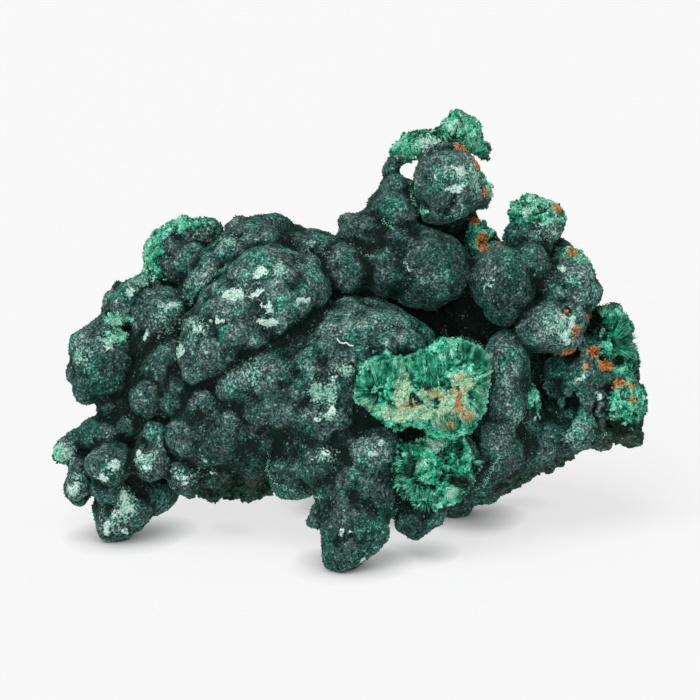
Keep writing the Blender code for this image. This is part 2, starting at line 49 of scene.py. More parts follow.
# A lobe: across, up, proud, then half its width, height and depth, then its turn on the face in degrees.
# The lobes of one mass flow together.  Masses meet in sharp creases.
MASSES = {
    "left_lobe": {
        "body": (-42, 30.4, 1, 6.2, 7.3, 8, 0),
        "chin": (-44.4, 26.2, 2, 3, 3.1, 4, 0),
        "ear": (-47.3, 28.2, 1, 1.9, 2.4, 2.8, 10),
        "brow": (-43.9, 33.9, 1, 3, 3, 4, 0),
        "crest": (-41.8, 35.6, 0, 4, 2.6, 5, 15),
    },
    "left_neck": {"neck": (-39.6, 22, -1, 4.2, 5, 6, 0)},
    "block_knob": {
        "body": (-38.9, 40, 0, 3, 3.4, 5, 0),
        "top": (-37.4, 42.1, -2, 3.3, 2.3, 5, 25),
        "back": (-34.5, 41.5, -4, 3.6, 4.6, 6, 0),
    },
    "block_ledge": {"ledge": (-40.4, 37, 1.6, 2.9, 0.9, 4, -4)},
    "upper_dome": {
        "dome": (-32.4, 38, 2, 5.3, 4.9, 7, 0),
        "foot": (-34.4, 33.4, 1, 3.8, 4.4, 6, 0),
    },
    "peak_knob": {
        "knob": (-31.2, 48.2, -3, 4.5, 5, 6, -15),
        "top": (-28.6, 51.7, -4, 4.6, 2.9, 5, 8),
        "tip": (-24.6, 52.2, -4, 2.5, 2.5, 4, 0),
    },
    "peak_knob_chin": {"chin": (-28.4, 46.6, -0.5, 4.4, 3.6, 6, 5)},
    "peak_knob_web": {"web": (-23.8, 49.8, -6, 2.4, 2.4, 4, 40)},
    "ridge_lobe": {
        "lobe": (-25.2, 44.2, 1, 6.4, 3.3, 7, 58),
        "foot": (-28.2, 40.2, 0, 2.6, 3.2, 6, -20),
    },
    "mid_fold": {
        "fold": (-32, 29.2, 3, 4.4, 6.4, 6.5, -15),
        "low": (-29.9, 24.8, 4.5, 3.7, 4.8, 6, -12),
    },
    "mid_knob": {
        "knob": (-34.9, 23.9, 4.5, 3, 4, 5.5, -15),
        "top": (-35.6, 27.6, 2.5, 2.2, 3.2, 4.6, -10),
    },
    "small_dome": {
        "dome": (-37.9, 19.6, 3.5, 2.6, 2.8, 4, 0),
        "link": (-36, 19.4, 1, 4.6, 4.2, 6, 20),
    },
    "nub": {
        "shoulder": (-42.1, 17.8, 1.4, 4.7, 3.5, 6, 0),
        "nub": (-47.6, 15.8, 0, 3.3, 2.4, 4, 42),
        "tip": (-48.9, 14.5, 0, 1.8, 1.7, 3, 10),
    },
    "bright_knob": {"knob": (-40.9, 12.9, 6.6, 4.2, 4, 5, 0)},
    "side_knob": {
        "knob": (-34.2, 13.3, 6, 3.7, 3.6, 5, 10),
        "top": (-33.6, 17.4, 4, 3.5, 3.4, 5.5, 0),
    },
    "toe": {
        "toe": (-46.6, 8.4, 2, 2.1, 2.8, 4, 5),
        "link": (-45.8, 11.8, 1, 2.6, 3, 4, 0),
    },
    "left_foot": {
        "foot": (-40.1, 4.3, 1, 4.4, 4.8, 5, 0),
        "top": (-41, 8.2, 3, 3.5, 2.8, 5, 0),
        "side": (-37.2, 4.4, 1, 3.1, 3.7, 5, -20),
    },
    "left_brace": {
        "brace": (-34.5, 7.8, -3, 6, 4, 6, 25),
        "high": (-36.5, 13, -3, 6.5, 5, 7, 0),
    },
    "long_lobe": {
        "lobe": (-20.8, 18.8, 6, 9.8, 6.8, 8.5, 14),
        "end": (-27.6, 17.6, 7.6, 4.1, 4.2, 5.6, 0),
        "top": (-25.2, 22.8, 6.4, 5.2, 3.8, 5.8, 50),
        "low": (-16.6, 15.2, 5.6, 6, 5, 7, -10),
        "bridge": (-15, 18.6, 5.5, 6, 5.6, 8.8, 0),
        "belly": (-20.7, 11.8, -2, 9.7, 4.6, 8, 0),
    },
    "speckled_lobe": {
        "left": (-28.1, 11.1, 4.5, 3.7, 3.5, 5, -35),
        "right": (-23.4, 11.4, 4, 3.9, 3.3, 5.5, 0),
    },
    "dome": {
        "middle": (0.6, 28.6, 5, 13.8, 12.6, 14, 0),
        "left": (-6.4, 28.4, 5, 10.5, 9.6, 12.8, 35),
        "right": (7, 32, 4, 7.5, 6.6, 12, -30),
        "finger": (-13.6, 27.6, 8, 9.8, 6, 9.8, 25),
        "finger_end": (-18.7, 26.2, 10, 4.8, 4.8, 5.8, 0),
        "low_left": (-12.4, 22.8, 8, 8.4, 7.4, 9.6, 0),
        "web": (-9.6, 25.4, 8.2, 5.6, 4.4, 9.4, 0),
        "skirt": (-4.5, 19.8, 6.4, 9.6, 8, 12.2, 0),
        "apron": (-1.2, 17.4, 9, 5, 4.2, 8.8, 0),
        "bridge": (-15.6, 19, 5.5, 5.4, 5.4, 8.6, 0),
        "rim": (-9.4, 12.6, 6, 5.7, 6.2, 8.6, -20),
        "rim_top": (-7.6, 16.8, 7, 6.4, 5, 9.4, 0),
        "knee_left": (-5.2, 14.2, 12.4, 5.1, 5, 6.5, 0),
        "knee_right": (3.4, 14, 13, 5.5, 5.6, 7, 0),
        "thigh": (0.6, 8.4, 13.4, 7.3, 7.4, 7, 0),
        "shin": (0.1, 3, 15, 5.8, 6, 6.2, 0),
        "sole": (-1.9, -1.4, 16.2, 3.4, 4.2, 4.7, -10),
        "heel": (0.4, 0.2, 15.2, 2.7, 3.4, 4.5, 30),
    },
    "foot_spur": {
        "spur": (-6.1, 3.6, 12.4, 2.2, 1.6, 3, 20),
        "link": (-4.6, 4.6, 12.4, 2.9, 2.9, 4, 0),
    },
    "cheek": {
        "nose": (-9.5, 41.6, 8.4, 5.7, 7.2, 7.4, -6),
        "middle": (-14.2, 40.9, 8, 8.8, 9.2, 9.2, 12),
        "low": (-18.8, 37, 8, 7.8, 8, 9, 36),
        "lower": (-22.8, 32.8, 8, 5.8, 6.4, 8, 34),
        "tip": (-25.8, 30.8, 7.6, 3.7, 4.9, 6.4, -8),
        "bump": (-26.2, 36, 6.6, 2.7, 3, 5, 0),
    },
    "brow": {
        "middle": (-16.2, 49, 1, 5.9, 5.7, 8, 0),
        "left": (-19.6, 47.3, 2, 4.1, 5.4, 7, 20),
        "knob": (-19.8, 53.1, -1, 2.1, 1.8, 3.2, 20),
        "top": (-14.2, 53, -1, 3.8, 2.4, 5, 0),
        "saddle": (-6.6, 47.8, -1, 6.2, 4.8, 8, -8),
        "crest": (-4.8, 50.7, -3, 4.2, 1.7, 4, -5),
        "crest_left": (-9.4, 51.3, -3, 3.4, 1.7, 4, -8),
    },
    "breast": {
        "right": (12.6, 45.8, 5.6, 7.5, 6.7, 8.2, 0),
        "left": (6.6, 46, 5, 5.6, 5.2, 7.2, 0),
        "saddle_end": (-0.6, 45.8, 3, 6, 4.7, 7, 0),
    },
    "shoulder": {
        "band": (7.8, 50.6, 2.4, 8, 3.6, 6.8, 0),
        "left": (2.8, 52.6, 1, 5.4, 3.6, 6, 14),
        "tip": (-1, 53.4, 0, 2, 2.1, 4, 0),
        "high": (7.2, 55.2, 2, 4.7, 4.1, 6, 30),
        "bump": (6.6, 57.4, 3.4, 2.3, 2, 3.4, 0),
        "spur": (4.3, 57.2, -1, 1.5, 2, 3, -20),
        "pillar": (7.2, 59.3, 0, 3.2, 3.1, 4, 0),
        "pillar_right": (9.6, 57.8, -1, 2.8, 3.8, 5, 0),
    },
    "arch": {
        "left": (6.6, 63.4, -1, 1.8, 2.8, 2.8, -24),
        "top": (9.8, 66.2, -1, 3.6, 2.3, 3.2, 20),
        "right": (12.4, 67.2, 0, 3.1, 2.3, 3.6, 10),
        "brim": (15.2, 65.2, 3, 4.3, 2.7, 5, -5),
    },
    "crown": {
        "peak": (18, 69, 0, 3.3, 3.3, 4, -20),
        "left": (15.4, 67.8, 0, 2.6, 2.3, 4, 30),
        "right": (20.3, 67.8, -1, 2, 2.5, 3.5, 0),
        "horn": (22, 66.2, -2, 1.6, 1.9, 2.7, 0),
    },
    "head": {
        "ball": (15.9, 60.4, 5.6, 6.1, 6.3, 7, 0),
        "right": (20.4, 58.6, 4, 3.1, 3.1, 5, 0),
        "jaw": (15.6, 56, 7, 4.2, 2.6, 4.6, 10),
    },
    "chin": {
        "middle": (25.6, 43.6, 6.6, 6.1, 6.5, 7.6, 8),
        "left": (22.6, 44, 5.6, 3.3, 4.9, 6, 0),
        "bottom": (25, 39.6, 7.4, 3.8, 3.1, 5.4, -10),
        "top": (29, 46.2, 4.6, 4.7, 4.9, 7, 0),
    },
    "horn": {
        "neck": (29.8, 50.4, 1.6, 4.1, 4.6, 5.5, 8),
        "middle": (31.6, 53.8, 0.6, 4.6, 4, 5, -25),
        "peak": (29.8, 56.2, 0, 2.3, 2.6, 3.6, -20),
        "right": (34.4, 53.3, 0, 2, 2.6, 3.6, 0),
    },
    "horn_shade": {"ball": (33.9, 48.6, -2.4, 2.4, 2.9, 4, 0)},
    "right_cheek": {
        "middle": (36.5, 43, 2.6, 4.8, 5.4, 6.6, -10),
        "top": (36.8, 47.1, 0, 2.8, 2.2, 4, -30),
        "left": (33.8, 42.2, 3.6, 3.6, 4.2, 6, 30),
        "low_right": (39.3, 41.4, 1, 3.1, 3.2, 5, 0),
    },
    "ear_lobe": {
        "left": (32.4, 36, 7.6, 5, 4.5, 6, 18),
        "low": (34.6, 34.2, 7, 3.9, 3.1, 5, 20),
        "right": (36.4, 37.4, 5, 2.9, 3.1, 5, 30),
    },
    "dark_lobe": {
        "top": (25.6, 29, 6.4, 4.6, 6.2, 7, 0),
        "middle": (25.4, 23, 7, 5, 6, 7, 0),
        "low": (23.8, 16.6, 7.2, 5.6, 6.4, 7, 14),
        "foot": (21.6, 11.8, 6, 3.6, 4.3, 6, -20),
        "side": (28.6, 19.4, 3.8, 4.4, 5, 6.8, 25),
        "slope": (30.6, 16.6, 2.6, 5.2, 4.2, 6.4, 30),
        "slope_end": (35.4, 17.4, 0.6, 4.6, 3.2, 6, 18),
    },
    "side_knob_right": {
        "knob": (38, 28, 3, 3.6, 2.7, 5, 0),
        "left": (35.2, 28.6, 1.4, 2.4, 2.8, 5, 0),
        "right": (41.6, 27, 2, 2.6, 2, 4, 0),
    },
    "green_crystal": {"crystal": (30.3, 23.7, 6.4, 1.7, 2.3, 3, 20)},
    "grey_lobe": {
        "front": (38.4, 17.8, 3, 2.6, 3.6, 5, -20),
        "back": (35, 19.6, -2, 4.4, 4.4, 7, 0),
    },
    "back_great": {
        "great": (6, 35, -18, 10.5, 9.5, 8.5, 0),
        "upper": (-6.5, 42, -14, 7.5, 6.8, 7, 20),
        "knob": (-3.5, 31, -21.5, 3.6, 3.4, 3.8, 0),
    },
    "back_left": {
        "high": (-17, 33.5, -18.5, 7.6, 7, 7, 0),
        "low": (-13, 22, -18.5, 6.6, 5.8, 6.5, -15),
    },
    "back_far_left": {
        "middle": (-29, 27.5, -14.5, 6.4, 7.4, 6, 0),
        "end": (-37.5, 31, -9.5, 4.8, 5.6, 5, 0),
    },
    "back_left_top": {"lobe": (-24.5, 41, -12, 5.6, 5.4, 5, 0)},
    "back_left_toe": {"lobe": (-38.5, 18, -8, 4.4, 4.4, 4.4, 0)},
    "back_right": {
        "top": (17.5, 42, -12, 6, 6.4, 6, 0),
        "horn": (28.5, 45, -8.5, 4.8, 5.4, 5, 0),
    },
    "back_head": {"lobe": (13.5, 55, -5, 4.2, 6.2, 4.6, 0)},
}

# Plain rock under and between the masses, in sharp meetings.
BEDROCK = {
    "far_left": (-34.5, 27, -5.5, 8, 12, 8, 0),
    "left_foot": (-38.5, 12, -2.5, 7, 7.5, 6.5, 0),
    "left_top": (-27.5, 42.5, -6, 7, 8, 7, 0),
    "left": (-21, 29, -9, 17, 16, 13, 8),
    "brow": (-12, 44, -7, 13, 8.5, 9, 0),
    "middle": (4, 27, -9, 23, 18, 15, 0),
    "right": (26, 27, -10, 15, 13, 12, 0),
    "behind_stub": (15.5, 21, 3.5, 7.5, 9, 6, 0),
    "far_right": (38.5, 27.5, -6, 8.5, 11, 8, 0),
    "top": (9, 45, -6, 11, 9.5, 9, 0),
    "top_right": (26, 40, -5, 12, 11, 8, 0),
    "behind_horn": (34.5, 45, -3, 5.5, 6.5, 6, 0),
    "low": (8, 15, -9, 12, 8, 12, 0),
    "neck": (14, 54.6, -3, 7, 4.6, 5.5, 0),
    "pocket_ridge": (22.2, 49.8, -1, 2.8, 3.2, 4.5, 15),
    "pocket_ridge_top": (20.6, 52.6, -2, 2, 2.3, 3.5, 30),
    "pocket_floor": (18.6, 51, -4, 4.2, 4.2, 4, 0),
    "broken_top": (43.3, 35.3, -3, 4.5, 4.1, 6, 0),
    "broken_notch": (42.4, 37.4, -4, 2.2, 2.6, 4, 0),
    "broken_peak": (44.6, 38, -3, 1.6, 2.4, 3, 10),
    "broken_side": (45.7, 31.5, -2.5, 2.9, 4.3, 5, 15),
    "broken_low": (45.4, 23.6, 0, 4.4, 3.6, 6, 0),
    "broken_corner": (48, 22, -1, 2.1, 4, 4, -5),
    "brown_nub": (48.1, 30.3, -1, 0.9, 1, 1.6, 0),
    "brown_ledge": (46.4, 17.8, -2, 3.2, 1.9, 5, -15),
    "striped_block": (42.1, 16.9, 1.4, 2.2, 2.4, 3.4, 0),
    "green_wall": (36.8, 22.4, -2, 5.4, 4.6, 4.8, 0),
    "right_belly": (34, 25, -7, 8.6, 7.6, 8, 20),
    "right_keel": (24.6, 12.8, -5, 9, 5.2, 8, 31),
    "right_back_foot": (17.2, 7.3, -13.5, 4.6, 4.2, 4.6, 0),
    "right_back_foot_side": (21.6, 9.2, -11, 4.8, 3.7, 5.5, 20),
    "hidden_back_foot": (1.5, 9.4, -19.5, 5.4, 4.6, 5.2, 0),
    "hidden_back_thigh": (2.5, 15, -16, 8, 7, 8, 0),
    "split_low_middle": (-4, 20, -15, 15, 9, 9, -12),
    "split_right": (26, 25, -14, 12, 10.5, 8.5, 15),
    "split_low_right": (34.4, 17.9, -6, 6.6, 4.3, 8, 22),
    "split_far_right": (39, 27.5, -8, 7.8, 10, 6.5, 0),
    "hanging_foot_root": (11.5, 8.2, 9, 4.8, 4, 6.5, 0),
}

# The snapped-off stub: the outline of its broken face, clockwise from the lower left, as (across, up).
STUB_OUTLINE = (
    (0.2, 23.6), (0, 26), (1.6, 29.6), (3.6, 31), (7.6, 31.4), (12.2, 31.9), (14.8, 34), (18.2, 34.2),
    (21.2, 33.2), (23.2, 31.2), (23.4, 28.6), (22.2, 24.8), (21.4, 21), (19.6, 18.5), (16.4, 17.5),
    (12.6, 18.2), (11.6, 19.6), (9.6, 20.2), (7.8, 18.4), (5.6, 19.2), (3.8, 21.2),
)
STUB_HEART = (12.6, 25.4)
STUB_STEPS = ((9, 0.82), (15, 0.86), (19.5, 1.0), (21.6, 0.95), (22.4, 0.6))  # proud, share of the outline
LEDGE_OUTLINE = (
    (7.6, 9), (7.4, 14.2), (9, 18.5), (14, 19), (19, 18.4), (21, 15), (20.4, 9.6), (17.6, 6.6), (12, 6.2),
    (9, 6.9),
)
LEDGE_HEART = (14.0, 12.2)
LEDGE_STEPS = ((4, 0.9), (12, 0.96), (15.6, 1.0), (17.4, 0.86), (18.2, 0.5))
WEDGE_OUTLINE = (
    (7, 2.8), (6.8, 5.4), (7.4, 9.6), (15.6, 9.6), (15.2, 5.6), (14.4, 2.8), (12.6, 1.4), (10.8, -0.1),
    (8.8, 1.5),
)
WEDGE_HEART = (11.2, 5.4)
WEDGE_STEPS = ((5, 0.8), (9, 1.0), (12.5, 0.98), (13.8, 0.7))
STUBS = (
    (STUB_OUTLINE, STUB_HEART, STUB_STEPS),
    (LEDGE_OUTLINE, LEDGE_HEART, LEDGE_STEPS),
    (WEDGE_OUTLINE, WEDGE_HEART, WEDGE_STEPS),
)

# Beds of split rock: a bed lobe, how many shards, the half sizes of the smallest and largest, and which
# way they face.
SHARD_BEDS = (
    ((38.8, 27, -4, 7.7, 10.4, 8, 0), 46, 1.4, 2.6, (0.6, 0, 0.5)),
    ((25.6, 24, -13, 12.8, 10.8, 9.6, 20), 44, 2, 3.8, (0.3, -0.4, -1)),
    ((27.6, 14.9, -6, 11.8, 4.9, 8.5, 28), 44, 1.2, 2.1, (0.1, -1, 0.2)),
    ((-3, 19, -15, 15.6, 8.8, 9.6, -10), 32, 2, 3.8, (0, -0.8, -1)),
    ((22, 50.2, 1, 2, 3.2, 3, 15), 12, 0.8, 1.4, (0, 0, 1)),
    ((-39.4, 39.8, -1, 2.6, 3.4, 3, 0), 10, 1, 1.7, (-0.5, 0.4, 0.6)),
    ((-21, 9.7, 1, 8, 2, 3, 0), 22, 1.1, 1.8, (0, -1, 0.6)),
    ((14, 11.8, 14.6, 5.6, 5, 3, 0), 22, 1.2, 2.2, (0, 0, 1)),
    ((18.2, 68.6, 0, 3, 2.8, 3.4, 0), 12, 0.9, 1.6, (0.3, 0.6, 0.7)),
    ((31.2, 54.8, 0.6, 3.8, 3, 4, -20), 12, 0.9, 1.7, (0, 0.5, 1)),
    ((-30.8, 49, -3, 3.4, 3.8, 5, 0), 12, 0.9, 1.5, (-0.7, 0.7, 0.6)),
)
SHARD_SEED = 41
CHIP_BEDS = (
    ((39, 27.2, -2.5, 8.6, 11.4, 8, 0), 260, 0.5, 1.3, (0.6, 0, 0.6)),
    ((27.6, 14.6, -5, 11.8, 4.9, 9.5, 28), 150, 0.5, 1.1, (0.1, -1, 0.4)),
    ((-21, 9.3, 2, 8.4, 2.4, 3.6, 0), 70, 0.5, 1, (0, -1, 0.6)),
    ((27, 22, -14, 14.4, 12.6, 10.6, 20), 200, 0.7, 1.8, (0.3, -0.4, -1)),
    ((-3, 19, -16, 16.4, 9.6, 10.4, -10), 150, 0.7, 1.8, (0, -0.8, -1)),
    ((22, 50.2, 2, 2.3, 3.4, 3.2, 15), 46, 0.4, 0.8, (0, 0, 1)),
    ((13.6, 12, 14.6, 6, 5.2, 3.4, 0), 90, 0.6, 1.6, (0, 0, 1)),
    ((18, 68.6, 0.2, 3, 2.8, 3.8, 0), 50, 0.4, 0.8, (0.2, 0.5, 0.8)),
    ((31, 54, 0.8, 4, 3.4, 4.8, -20), 50, 0.4, 0.9, (0, 0.4, 1)),
    ((-30.8, 49.2, -3, 3.8, 3.8, 5.6, 0), 60, 0.4, 0.9, (-0.6, 0.8, 0.6)),
    ((10.4, 66, -0.4, 4.2, 1.9, 3.2, 15), 40, 0.3, 0.7, (0, 0.8, 0.8)),
)
CHIP_SEED = 57


def layer(proud, deep, rows):
    """Zones that lie equally far out of the display face: across, up, half width, half height, strength."""
    return tuple((*row[:2], proud, *row[2:4], deep, row[4]) for row in rows)


# Zones on the display face: across, up, proud, half width, half height, half depth, strength.
# The broken faces of the stub and of the ledge under it stand apart, since they have fibres of their own.
STUB_FACE = (12, 26, 21, 13, 10, 4.6, 1)
LEDGE_FACE = (13.4, 12.6, 16.5, 6.8, 6.4, 5.5, 1)
SMALL_BREAKS = (  # where the crust is broken through in small places
    (-33.6, 49, -2, 2.6, 5.8, 5.5, 0.9), (-28.4, 53.2, -4, 6, 2.4, 5.5, 0.9),
    (-23.6, 50.2, -5, 2.4, 2.6, 4.5, 1), (31.5, 55.6, 1, 5.6, 3.8, 6, 0.95),
    (11.5, 66.8, 0, 6.5, 2.6, 5, 0.85), (18.6, 69.4, 0.5, 4.6, 4.2, 5.5, 0.85),
    (22.4, 50.8, 1.5, 3.4, 4.6, 5, 0.8), (37.2, 47.6, 1.5, 3.4, 2.4, 5, 0.8),
    (45, 32.5, 0, 4.6, 7.8, 6.5, 0.7), (46.5, 23.5, 1.5, 4.2, 4.4, 6.5, 0.75),
    (30.4, 24, 6.5, 2, 2.6, 4, 0.9), (22.8, 60.4, 4, 1.2, 3.4, 4, 0.8), (21.8, 66.6, -1, 1.8, 2.2, 4, 0.6),
    (12, 55.2, 7, 2, 0.9, 4, 0.6), (-39.5, 37.4, 3.5, 2.8, 1.2, 3, 0.7), (-40, 34.3, 7.5, 3, 1.8, 3, 0.7),
    (-49.5, 14.5, 1, 1.8, 1.8, 3, 0.7),
)
FRESH_ZONES = (STUB_FACE, LEDGE_FACE, *SMALL_BREAKS)  # bright fibrous green
CREAM_ZONES = (  # the pale heart of the snapped stub
    *layer(22, 3, (
        (8.2, 25.2, 1.6, 3.2, 1), (7.4, 21.6, 3.2, 1.4, 1), (12.8, 21.6, 4.4, 1.5, 1),
        (16.4, 22.8, 2.8, 2.6, 0.9), (18.2, 27.2, 2.2, 1.6, 0.75), (13.2, 24.6, 2.8, 1.8, 0.58),
        (19.6, 24.8, 1.4, 2.2, 0.6),
    )),
    (3.2, 23.2, 21, 1.2, 1.5, 3, 0.6),
)
STUB_STAINS = (  # tan and orange stains on the stub
    *layer(22, 2.5, (
        (17.4, 23.8, 0.9, 2.2, 0.82), (18.6, 21.9, 1.4, 0.7, 0.78), (17.4, 25.6, 2.2, 1.2, 0.5),
        (9.2, 23, 2, 0.8, 0.58), (13.6, 24.6, 1.6, 0.7, 0.62), (15.4, 19.8, 2.2, 0.35, 0.6),
        (18.6, 28, 2, 0.8, 0.4),
    )),
)
LIMONITE = (  # orange limonite elsewhere
    *layer(3, 6, (
        (40.7, 31.9, 1.4, 1.1, 1), (42.6, 29.6, 1.6, 0.8, 1), (39.4, 29.2, 0.8, 0.6, 0.8),
        (45.2, 26.4, 1.2, 1, 1), (47.2, 26, 0.6, 0.6, 0.9), (47, 23.8, 0.8, 0.5, 0.9),
    )),
    (37.3, 35.4, 6, 0.8, 2.3, 5, 0.9), (36.3, 31.9, 4, 2.4, 0.7, 5, 0.7), (21.8, 50.6, 4, 1.1, 1.2, 5, 1),
    (24.3, 49.2, 4, 0.8, 1, 5, 1), (22.6, 49, 4, 1, 0.5, 5, 0.8), (40, 37.5, 2, 2.2, 0.8, 5, 0.7),
    (35.9, 38.4, 8, 0.6, 0.6, 4, 0.9), (20.7, 54.2, 2, 0.9, 0.9, 4, 1), (18.2, 66.2, 5, 1.2, 0.6, 4, 0.8),
    (20.8, 63.4, 6, 0.7, 2, 4, 0.9), (22.3, 58.6, 6, 0.5, 0.8, 4, 0.9), (34.4, 56, 4, 0.9, 0.6, 4, 0.9),
    (37.1, 48.6, 3, 1.2, 0.7, 4, 0.9), (34, 21, -18, 5, 2, 8, 0.7), (24, 26, -26, 4, 2.4, 8, 0.8),
    (6, 17, -26, 4, 1.6, 8, 0.6),
)
RUST_ZONES = STUB_STAINS + LIMONITE
BLOOM_SPOTS = (  # near-white bloom
    *layer(16, 5, (
        (-15.4, 45.2, 1.4, 0.9, 1), (-19.8, 41.5, 1.7, 1.1, 1), (-16.2, 41.3, 1.1, 0.8, 1),
        (-22.6, 36.9, 1.9, 0.45, 0.9), (-14.2, 36.6, 2.2, 0.55, 1), (2.2, 39.7, 0.6, 0.4, 1),
    )),
    *layer(6, 5, (
        (-35.2, 34.4, 0.4, 0.9, 1), (-38.6, 7.4, 0.9, 1.2, 1), (-38, 5.6, 1.2, 1.1, 1.1),
        (-39.8, 4.4, 1.6, 0.5, 0.9), (-41.6, 1.8, 0.5, 1.4, 1), (-38.6, 1.6, 1.2, 0.7, 0.7),
    )),
    *layer(12, 5, (
        (18, 62.2, 1.5, 1.1, 0.95), (17, 58.9, 2, 0.9, 0.75), (13.7, 61.3, 0.5, 0.6, 1),
        (9.4, 46.4, 1.4, 1, 0.35), (11.4, 44.2, 0.9, 1, 0.45), (35.2, 37.2, 1.2, 0.8, 0.75),
        (35.6, 34.4, 1, 1.4, 0.9), (19.6, 14, 0.6, 0.9, 0.9), (20.6, 10.3, 0.4, 0.5, 1),
    )),
    (-14.3, 38.8, 17, 1.1, 1.1, 5, 0.9), (-5.8, 20.7, 17, 0.8, 0.5, 5, 1.1),
    (-3.7, 21.9, 17, 0.8, 0.8, 5, 1), (-8.1, 40.7, 15, 0.8, 0.6, 5, 1.2), (14.2, 16.4, 15, 1.7, 1, 5, 1.3),
    (-29.2, 32.2, 12, 0.7, 1.4, 6, 1), (-26, 35.5, 13, 1, 1, 6, 0.75), (-30.3, 39.7, 8, 1.1, 0.6, 6, 0.9),
    (-37.7, 41.8, 4, 1, 0.7, 5, 1), (12.5, 67.4, 4, 2.4, 0.9, 5, 0.75), (29.4, 55.2, 4, 0.9, 1.3, 5, 0.8),
    (34.2, 51.8, 4, 1.2, 0.5, 5, 0.9), (-41, 32.9, 8, 1.3, 0.8, 5, 1), (-44.3, 30.5, 8, 0.4, 0.5, 5, 1.1),
    (35, 46, 8, 1, 0.6, 5, 0.8), (-3.2, 27.8, 18, 0.8, 0.8, 5, 0.7), (-4.2, 14.9, 19, 1.1, 0.6, 5, 0.7),
    (3, 15, 19, 1, 0.8, 5, 0.7), (4.6, 17, 19, 0.8, 0.6, 5, 0.8), (-1.2, 2, 20, 1.2, 0.5, 5, 0.75),
    (1.5, -2.6, 20, 0.5, 0.8, 5, 0.8), (-39.6, 13, 12, 0.9, 1.4, 4, 1.1), (-42.2, 10.6, 11, 1.3, 0.4, 4, 1),
    (-46.9, 8.9, 5, 1, 1.2, 4, 0.8), (-48.6, 14.8, 2, 1.1, 1.2, 4, 0.8),
    (-35.6, 14.6, 10, 0.7, 0.9, 4, 0.9), (-34.6, 12.2, 10, 0.8, 0.6, 4, 0.7),
    (-28.6, 10.2, 9, 1.3, 1.1, 4, 0.7), (31, 20.9, 9, 0.7, 0.3, 4, 1), (-24.8, 13.3, 8, 0.7, 0.6, 4, 1),
    (-23.6, 11.5, 8, 0.9, 0.7, 4, 0.9), (38.3, 27.7, 8, 0.8, 0.7, 4, 1.1),
    (-35.9, 25, 10, 0.8, 0.9, 5, 0.5), (37, 36.2, 10, 0.5, 1.3, 5, 1), (17.4, 70.4, 3, 1.4, 1.2, 5, 0.7),
    (22.8, 43.4, 13, 1.4, 1.2, 5, 0.5), (41.4, 24.5, 6, 0.6, 1, 4, 1.2), (46.2, 30.8, 6, 0.5, 0.4, 4, 1),
    (13.4, 8, 16, 1.8, 0.5, 4, 0.7),
)
MINT_SPOTS = (  # thin mint dust
    *layer(6, 5, (
        (-38, 6.4, 2, 2.4, 0.9), (-40.6, 2.4, 1.8, 1.6, 0.6), (40.2, 41.6, 1.4, 2.4, 0.4),
        (36.6, 17.6, 1, 1.2, 0.8), (-40, 37.2, 2.2, 0.8, 0.8), (-6.4, 48.4, 3, 2, 0.3),
    )),
    (-6.4, 25.2, 18, 1.5, 1.6, 5, 1.1), (-3.6, 24.9, 18, 1.3, 1.5, 5, 1), (-1.5, 29, 18, 1.7, 1.1, 5, 0.9),
    (-4.4, 21.2, 17, 2.2, 0.9, 5, 0.7), (2.8, 29.4, 19, 1.6, 0.8, 5, 0.5), (-4.4, 14.6, 19, 2, 1.2, 5, 0.6),
    (2.6, 15.4, 19, 2.4, 1.8, 5, 0.5), (8.8, 37, 15, 3, 1.6, 5, 0.9), (-17, 28.2, 15, 2.6, 2, 5, 0.5),
    (14.3, 16.6, 15, 2, 1.2, 5, 1.1), (-40.4, 34.2, 8, 2.6, 1.3, 5, 1), (37.8, 44, 8, 2.8, 2.8, 5, 0.35),
    (-45.6, 31.6, 7, 2, 2.2, 5, 0.6), (-30.6, 39.8, 8, 1.8, 1, 6, 0.8), (-32, 37, 8, 2.4, 1.8, 6, 0.4),
    (-26.2, 36.2, 13, 1.8, 1.8, 6, 0.6), (-24.2, 31.8, 14, 1, 0.9, 6, 0.8),
    (-12.5, 45.6, 16, 1.3, 1, 6, 0.8), (-17.5, 43.4, 16, 2, 1, 6, 0.4), (-20.4, 50.6, 7, 1.2, 0.8, 6, 0.7),
    (-46.9, 8.6, 5, 1.4, 1.8, 4, 0.7), (-48.6, 15, 2, 1.6, 1.8, 4, 0.9),
    (-40.2, 12.6, 12, 1.8, 1.8, 4, 0.5), (-35, 13.8, 10, 1.6, 1.8, 4, 0.7),
    (-28.4, 10.8, 9, 2, 1.6, 4, 0.5), (17.6, 61.6, 12, 2.8, 2.2, 5, 0.6),
    (34.8, 35.6, 12, 2.8, 2.6, 5, 0.7), (20.6, 60.6, 10, 1.2, 3, 5, 0.7),
    (27.8, 20.8, 11, 1.2, 1.2, 5, 0.7), (24.6, 27, 13, 1.4, 2, 5, 0.6), (-36, 44.2, 2, 1.6, 1, 5, 0.9),
    (38, 47.4, 2, 2.8, 2, 5, 0.6), (33, 53, 4, 2.4, 2.4, 5, 0.5), (12, 67.2, 4, 4, 1.6, 5, 0.55),
    (18, 70, 3, 2.4, 2, 5, 0.7), (-34, 48, -2, 2.6, 4.6, 6, 0.4), (-28.4, 53.4, -4, 6, 2.2, 6, 0.42),
    (-23.6, 50.4, -5, 2.2, 2.2, 5, 0.6), (31, 56.4, 1, 4.6, 3, 6, 0.48), (19.4, 68.6, 1, 4.4, 3.6, 6, 0.4),
    (8.6, 66.4, 0, 3, 2.4, 5, 0.35), (22.8, 60.4, 4, 1.2, 3.4, 4, 0.6), (22.4, 25.6, 21, 1.8, 5.6, 4, 0.6),
    (11.4, 12.6, 16, 1.8, 2.2, 4, 0.35),
)
LEDGE_ROCK = (17.8, 10.2, 17, 2.2, 1.3, 4, 1)
